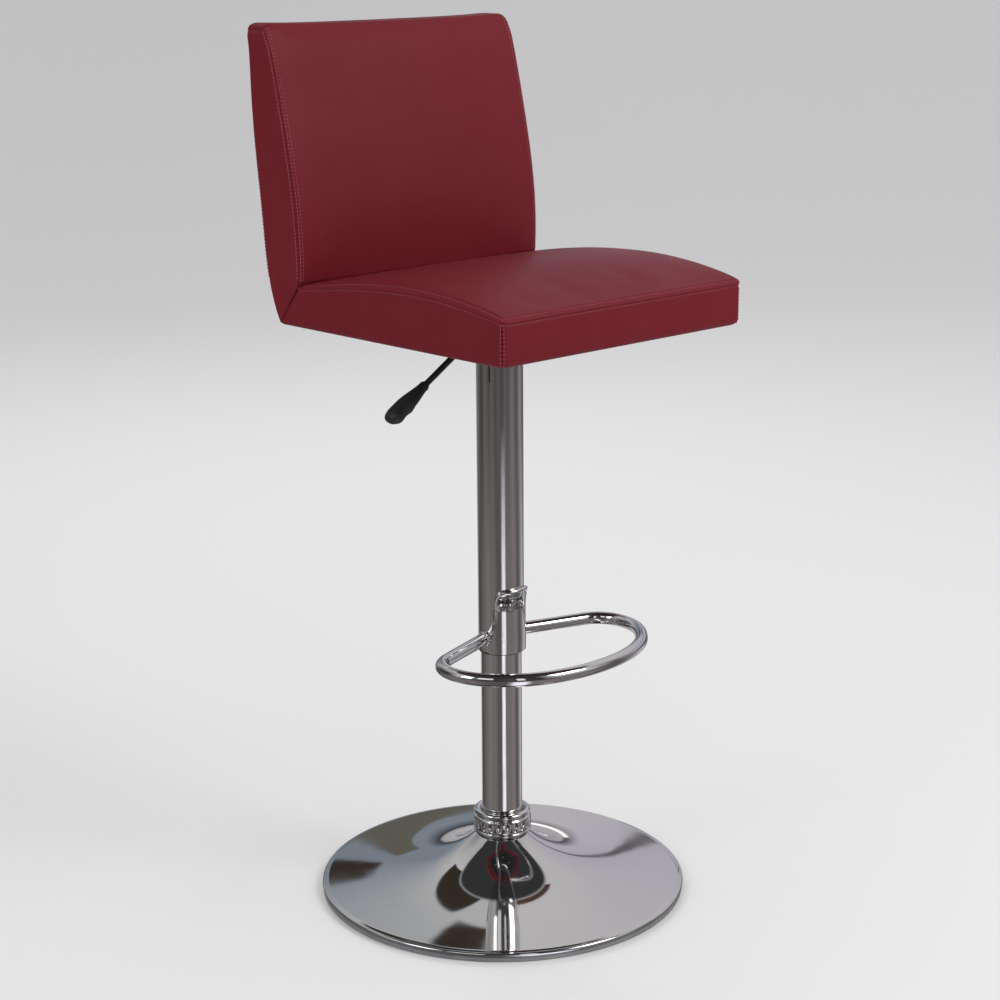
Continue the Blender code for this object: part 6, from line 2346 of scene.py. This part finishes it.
@dataclass
class Studio:
    """Pale floor, soft lights and the camera."""

    azimuth: float = math.radians(-43.1)
    distance: float = 2.535
    height: float = 1.165
    yaw: float = math.radians(0.01)
    pitch: float = math.radians(14.80)
    roll: float = math.radians(-0.35)
    focal: float = 2.184

    def build_camera(self) -> None:
        """Place the camera."""
        data = bpy.data.cameras.new("camera")
        data.sensor_width = 36.0
        data.lens = 36.0 * self.focal
        camera = bpy.data.objects.new("camera", data)
        bpy.context.collection.objects.link(camera)
        turn = self.azimuth + self.yaw
        ahead = Vector(
            (-math.sin(turn) * math.cos(self.pitch), math.cos(turn) * math.cos(self.pitch), -math.sin(self.pitch))
        )
        right = Vector((math.cos(turn), math.sin(turn), 0.0))
        up = right.cross(ahead)
        side = right * math.cos(self.roll) + up * math.sin(self.roll)
        rise = up * math.cos(self.roll) - right * math.sin(self.roll)
        frame = Matrix((side, rise, -ahead)).transposed().to_4x4()
        frame.translation = Vector(
            (self.distance * math.sin(self.azimuth), -self.distance * math.cos(self.azimuth), self.height)
        )
        camera.matrix_world = frame
        bpy.context.scene.camera = camera

    def bearing(self, kit: NodeKit, place: bpy.types.NodeSocket) -> bpy.types.NodeSocket:
        """Bearing of a point or direction about the stool's axis.

        Args:
            kit: The tree's kit.
            place: Position or direction.

        Returns:
            Share of a turn as the camera sees it: 0 in front of the stool, 0.25 right, 0.5 behind, 0.75 left.
        """
        turned = kit.add("ShaderNodeVectorRotate", rotation_type="Z_AXIS", in_Angle=-self.azimuth)
        kit.link(place, turned.inputs["Vector"])
        split = kit.add("ShaderNodeSeparateXYZ")
        kit.link(turned.outputs[0], split.inputs[0])
        depth = kit.math("MULTIPLY", split.outputs[1], -1.0)
        return kit.math("FRACT", kit.math("MULTIPLY_ADD", kit.math("ARCTAN2", split.outputs[0], depth), 0.5 / math.pi, 1.0))

    @staticmethod
    def bands(kit: NodeKit, source: bpy.types.NodeSocket, stops: Sequence[tuple[float, Point]]) -> bpy.types.NodeSocket:
        """Colours at bearings, blended between them.

        Args:
            kit: The tree's kit.
            source: Value from 0 to 1.
            stops: Positions and their colours.

        Returns:
            The colour's socket.
        """
        node = kit.add("ShaderNodeValToRGB")
        ramp = node.color_ramp
        while len(ramp.elements) > 1:
            ramp.elements.remove(ramp.elements[-1])
        ramp.elements[0].position, ramp.elements[0].color = stops[0][0], (*stops[0][1], 1.0)
        for position, colour in stops[1:]:
            ramp.elements.new(position).color = (*colour, 1.0)
        kit.link(source, node.inputs[0])
        return node.outputs[0]

    @staticmethod
    def window(
        kit: NodeKit, around: bpy.types.NodeSocket, height: bpy.types.NodeSocket, patch: Patch
    ) -> bpy.types.NodeSocket:
        """Mask that is 1 inside a patch of the surround.

        Args:
            kit: The tree's kit.
            around: Bearing.
            height: Height of the direction.
            patch: The patch.

        Returns:
            The mask's socket.
        """
        soft = 0.0006
        mask = kit.math(
            "MULTIPLY",
            kit.ramp(around, patch.left - soft, patch.left + soft),
            kit.ramp(around, patch.right + soft, patch.right - soft),
        )
        level = kit.math(
            "MULTIPLY",
            kit.ramp(height, patch.low - 0.004, patch.low + 0.004),
            kit.ramp(height, patch.high + 0.004, patch.high - 0.004),
        )
        return kit.math("MULTIPLY", mask, level)

    def build_floor(self) -> None:
        """Pale matt floor; polished metal sees it as painted reflections: a dim floor with a few soft streaks of light.
        """
        mesh = bpy.data.meshes.new("floor")
        size = 90.0
        corners = [(-size, -size, 0.0), (size, -size, 0.0), (size, size, 0.0), (-size, size, 0.0)]
        mesh.from_pydata(corners, [], [[0, 1, 2, 3]])
        floor = bpy.data.objects.new("floor", mesh)
        bpy.context.collection.objects.link(floor)
        material = bpy.data.materials.new("pale floor")
        material.use_nodes = True
        kit = NodeKit(material.node_tree)
        shader = material.node_tree.nodes["Principled BSDF"]
        shader.inputs["Roughness"].default_value = 0.6
        place = kit.add("ShaderNodeTexCoord").outputs["Object"]
        # painted reflections: floor tones by bearing round the stool that only glossy rays see, with bright streaks of
        # light
        dim, warm, cold = (0.155, 0.138, 0.130), (0.205, 0.182, 0.168), (0.045, 0.046, 0.062)
        stops = [
            (0.0, dim),
            (0.008, (0.40, 0.38, 0.42)),
            (0.022, (1.5, 1.45, 1.6)),
            (0.052, (1.5, 1.45, 1.6)),
            (0.070, (0.18, 0.165, 0.160)),
            (0.10, warm),
            (0.155, dim),
            (0.20, warm),
            (0.26, cold),
            (0.30, warm),
            (0.37, (0.75, 0.74, 0.77)),
            (0.41, cold),
            (0.47, (0.55, 0.54, 0.55)),
            (0.53, (0.55, 0.54, 0.55)),
            (0.59, (0.50, 0.50, 0.50)),
            (0.612, (0.034, 0.036, 0.026)),
            (0.650, (0.060, 0.060, 0.050)),
            (0.70, dim),
            (0.76, warm),
            (0.82, (0.22, 0.20, 0.185)),
            (0.87, dim),
            (0.905, warm),
            (0.955, (0.100, 0.090, 0.085)),
        ]
        distant = [
            (0.0, (0.130, 0.110, 0.115)),
            (0.03, (0.055, 0.050, 0.075)),
            (0.07, (0.200, 0.170, 0.170)),
            (0.11, (0.110, 0.095, 0.085)),
            (0.17, (0.240, 0.205, 0.185)),
            (0.23, (0.055, 0.055, 0.060)),
            (0.27, (0.180, 0.160, 0.160)),
            (0.32, (0.480, 0.470, 0.500)),
            (0.38, (0.100, 0.095, 0.100)),
            (0.50, (0.450, 0.440, 0.460)),
            (0.64, (0.200, 0.200, 0.170)),
            (0.72, (0.034, 0.036, 0.026)),
            (0.78, (0.210, 0.180, 0.140)),
            (0.84, (0.070, 0.062, 0.050)),
            (0.89, (0.185, 0.160, 0.130)),
            (0.94, (0.075, 0.068, 0.066)),
            (0.97, (0.170, 0.145, 0.150)),
        ]
        around = self.bearing(kit, place)
        glow = self.bands(kit, around, stops)
        beyond = self.bands(kit, around, distant)
        away = kit.add("ShaderNodeVectorMath", operation="LENGTH")
        kit.link(place, away.inputs[0])
        glow = kit.mix(kit.ramp(away.outputs["Value"], 1.3, 2.6), glow, beyond)
        fade = kit.ramp(away.outputs["Value"], 0.7, 2.5, 1.0, 0.75)
        dark = kit.mix(fade, (0.02, 0.02, 0.024), glow)
        # painted reflection: noise mottles the dim floor tones
        reflection_mottle = kit.add("ShaderNodeTexNoise", in_Scale=6.0, in_Detail=4.0)
        kit.link(place, reflection_mottle.inputs["Vector"])
        dark = kit.mix(kit.ramp(reflection_mottle.outputs["Fac"], 0.35, 0.7, 0.0, 0.35), dark, dim)
        # glossy rays see the painted reflections, all other rays the pale floor
        path = kit.add("ShaderNodeLightPath")
        kit.link(kit.mix(path.outputs["Is Glossy Ray"], (0.80, 0.79, 0.78), dark), shader.inputs["Base Color"])
        mesh.materials.append(material)

    def light(
        self,
        name: str,
        place: Point,
        target: Point,
        size: tuple[float, float],
        power: float,
        tone: Point,
        glossy: bool = True,
    ) -> None:
        """Add one soft panel light.

        Args:
            name: Its name.
            place: Where it stands.
            target: Where it points.
            size: Width and height.
            power: Its power in watts.
            tone: Its colour.
            glossy: Whether it shows in reflections.
        """
        data = bpy.data.lights.new(name, "AREA")
        data.shape = "RECTANGLE"
        data.size, data.size_y = size
        data.energy = power
        data.color = tone
        lamp = bpy.data.objects.new(name, data)
        bpy.context.collection.objects.link(lamp)
        lamp.location = place
        lamp.rotation_euler = (Vector(target) - Vector(place)).to_track_quat("-Z", "Y").to_euler()
        lamp.visible_glossy = glossy

    def build_world(self) -> None:
        """Plain pale surround, which polished metal sees as a room with lighter and darker walls."""
        world = bpy.data.worlds.new("surround")
        bpy.context.scene.world = world
        world.use_nodes = True
        kit = NodeKit(world.node_tree)
        back = world.node_tree.nodes["Background"]
        place = kit.add("ShaderNodeTexCoord").outputs["Generated"]
        split = kit.add("ShaderNodeSeparateXYZ")
        kit.link(place, split.inputs[0])
        height = split.outputs[2]
        around = self.bearing(kit, place)
        lilac, slate = (0.68, 0.65, 0.74), (0.30, 0.35, 0.41)
        walls = [
            (0.0, (0.11, 0.10, 0.10)),
            (0.10, (0.05, 0.045, 0.05)),
            (0.14, (0.60, 0.60, 0.63)),
            (0.22, (0.75, 0.73, 0.78)),
            (0.27, (0.16, 0.15, 0.15)),
            (0.33, lilac),
            (0.47, lilac),
            (0.499, (0.74, 0.72, 0.75)),
            (0.502, slate),
            (0.56, slate),
            (0.60, (0.62, 0.62, 0.64)),
            (0.66, (0.12, 0.12, 0.13)),
            (0.74, (0.05, 0.05, 0.055)),
            (0.80, (0.70, 0.70, 0.74)),
            (0.86, (0.22, 0.22, 0.23)),
            (0.94, (0.07, 0.065, 0.065)),
        ]
        room = self.bands(kit, around, walls)
        behind = kit.math("MULTIPLY", kit.ramp(around, 0.12, 0.18), kit.ramp(around, 0.88, 0.82))
        raised = kit.math("MULTIPLY", kit.ramp(height, 0.34, 0.66, 0.0, 0.75), behind)
        room = kit.mix(raised, room, (0.84, 0.83, 0.81))
        brown, olive, line = (0.052, 0.040, 0.030), (0.17, 0.165, 0.135), (0.15, 0.145, 0.15)
        room = kit.mix(kit.ramp(height, 0.13, 0.02, 0.0, 0.85), room, (0.03, 0.03, 0.032))
        for patch in (
            Patch(0.5035, 0.5300, 0.190, 0.300, olive),
            Patch(0.5035, 0.5140, 0.480, 0.640, brown),
            Patch(0.5215, 0.5290, 0.355, 0.425, brown),
            Patch(0.5200, 0.6000, 0.660, 0.785, brown),
            Patch(0.44, 0.5035, 0.755, 0.785, (0.10, 0.055, 0.045)),
            Patch(0.30, 0.4965, 0.285, 0.315, line),
            Patch(0.480, 0.5000, -0.010, 0.045, (1.9, 1.8, 1.8)),
            Patch(0.900, 0.9650, 0.420, 0.730, (1.3, 1.3, 1.3)),
            Patch(0.030, 0.0600, 0.250, 0.700, (1.3, 1.3, 1.35)),
        ):
            room = kit.mix(self.window(kit, around, height, patch), room, patch.colour)
        room = kit.mix(kit.ramp(height, 0.780, 0.800), room, (0.050, 0.050, 0.052))
        pale = kit.mix(kit.ramp(height, -0.1, 0.8), (0.80, 0.79, 0.79), (0.96, 0.97, 1.0))
        path = kit.add("ShaderNodeLightPath")
        kit.link(kit.mix(path.outputs["Is Glossy Ray"], pale, room), back.inputs["Color"])
        back.inputs["Strength"].default_value = 0.80

    def build(self) -> None:
        """Build the setting."""
        self.build_camera()
        self.build_floor()
        self.build_world()
        bpy.context.scene.view_settings.view_transform = "Standard"
        self.light("key", (1.1, -2.5, 2.7), (0.0, 0.0, 0.6), (1.3, 1.3), 42.0, (1.0, 0.99, 0.98))
        self.light("fill", (-2.9, 0.3, 1.9), (0.0, 0.0, 0.6), (1.0, 1.6), 12.0, (0.96, 0.98, 1.0))
        self.light("rear", (1.6, 2.4, 2.5), (0.0, 0.0, 0.7), (1.5, 1.0), 22.0, (0.98, 0.98, 1.0), False)


# ------------------------------------------------------------------ assembly


def main() -> None:
    """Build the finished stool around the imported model."""
    logging.basicConfig(level=logging.INFO, format="%(message)s")
    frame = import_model()
    workshop = Workshop(frame)
    workshop.dress_nodes()
    tools = GeometryTools(workshop)
    Studio().build()
    Base(workshop, tools).build()
    Column(workshop).build()
    Footrest(workshop, tools).build()
    Lever(workshop).build()
    Seat(workshop, tools).build()
    Back(workshop, tools).build()
    Underside(workshop, tools).build()


if __name__ == "__main__":
    main()
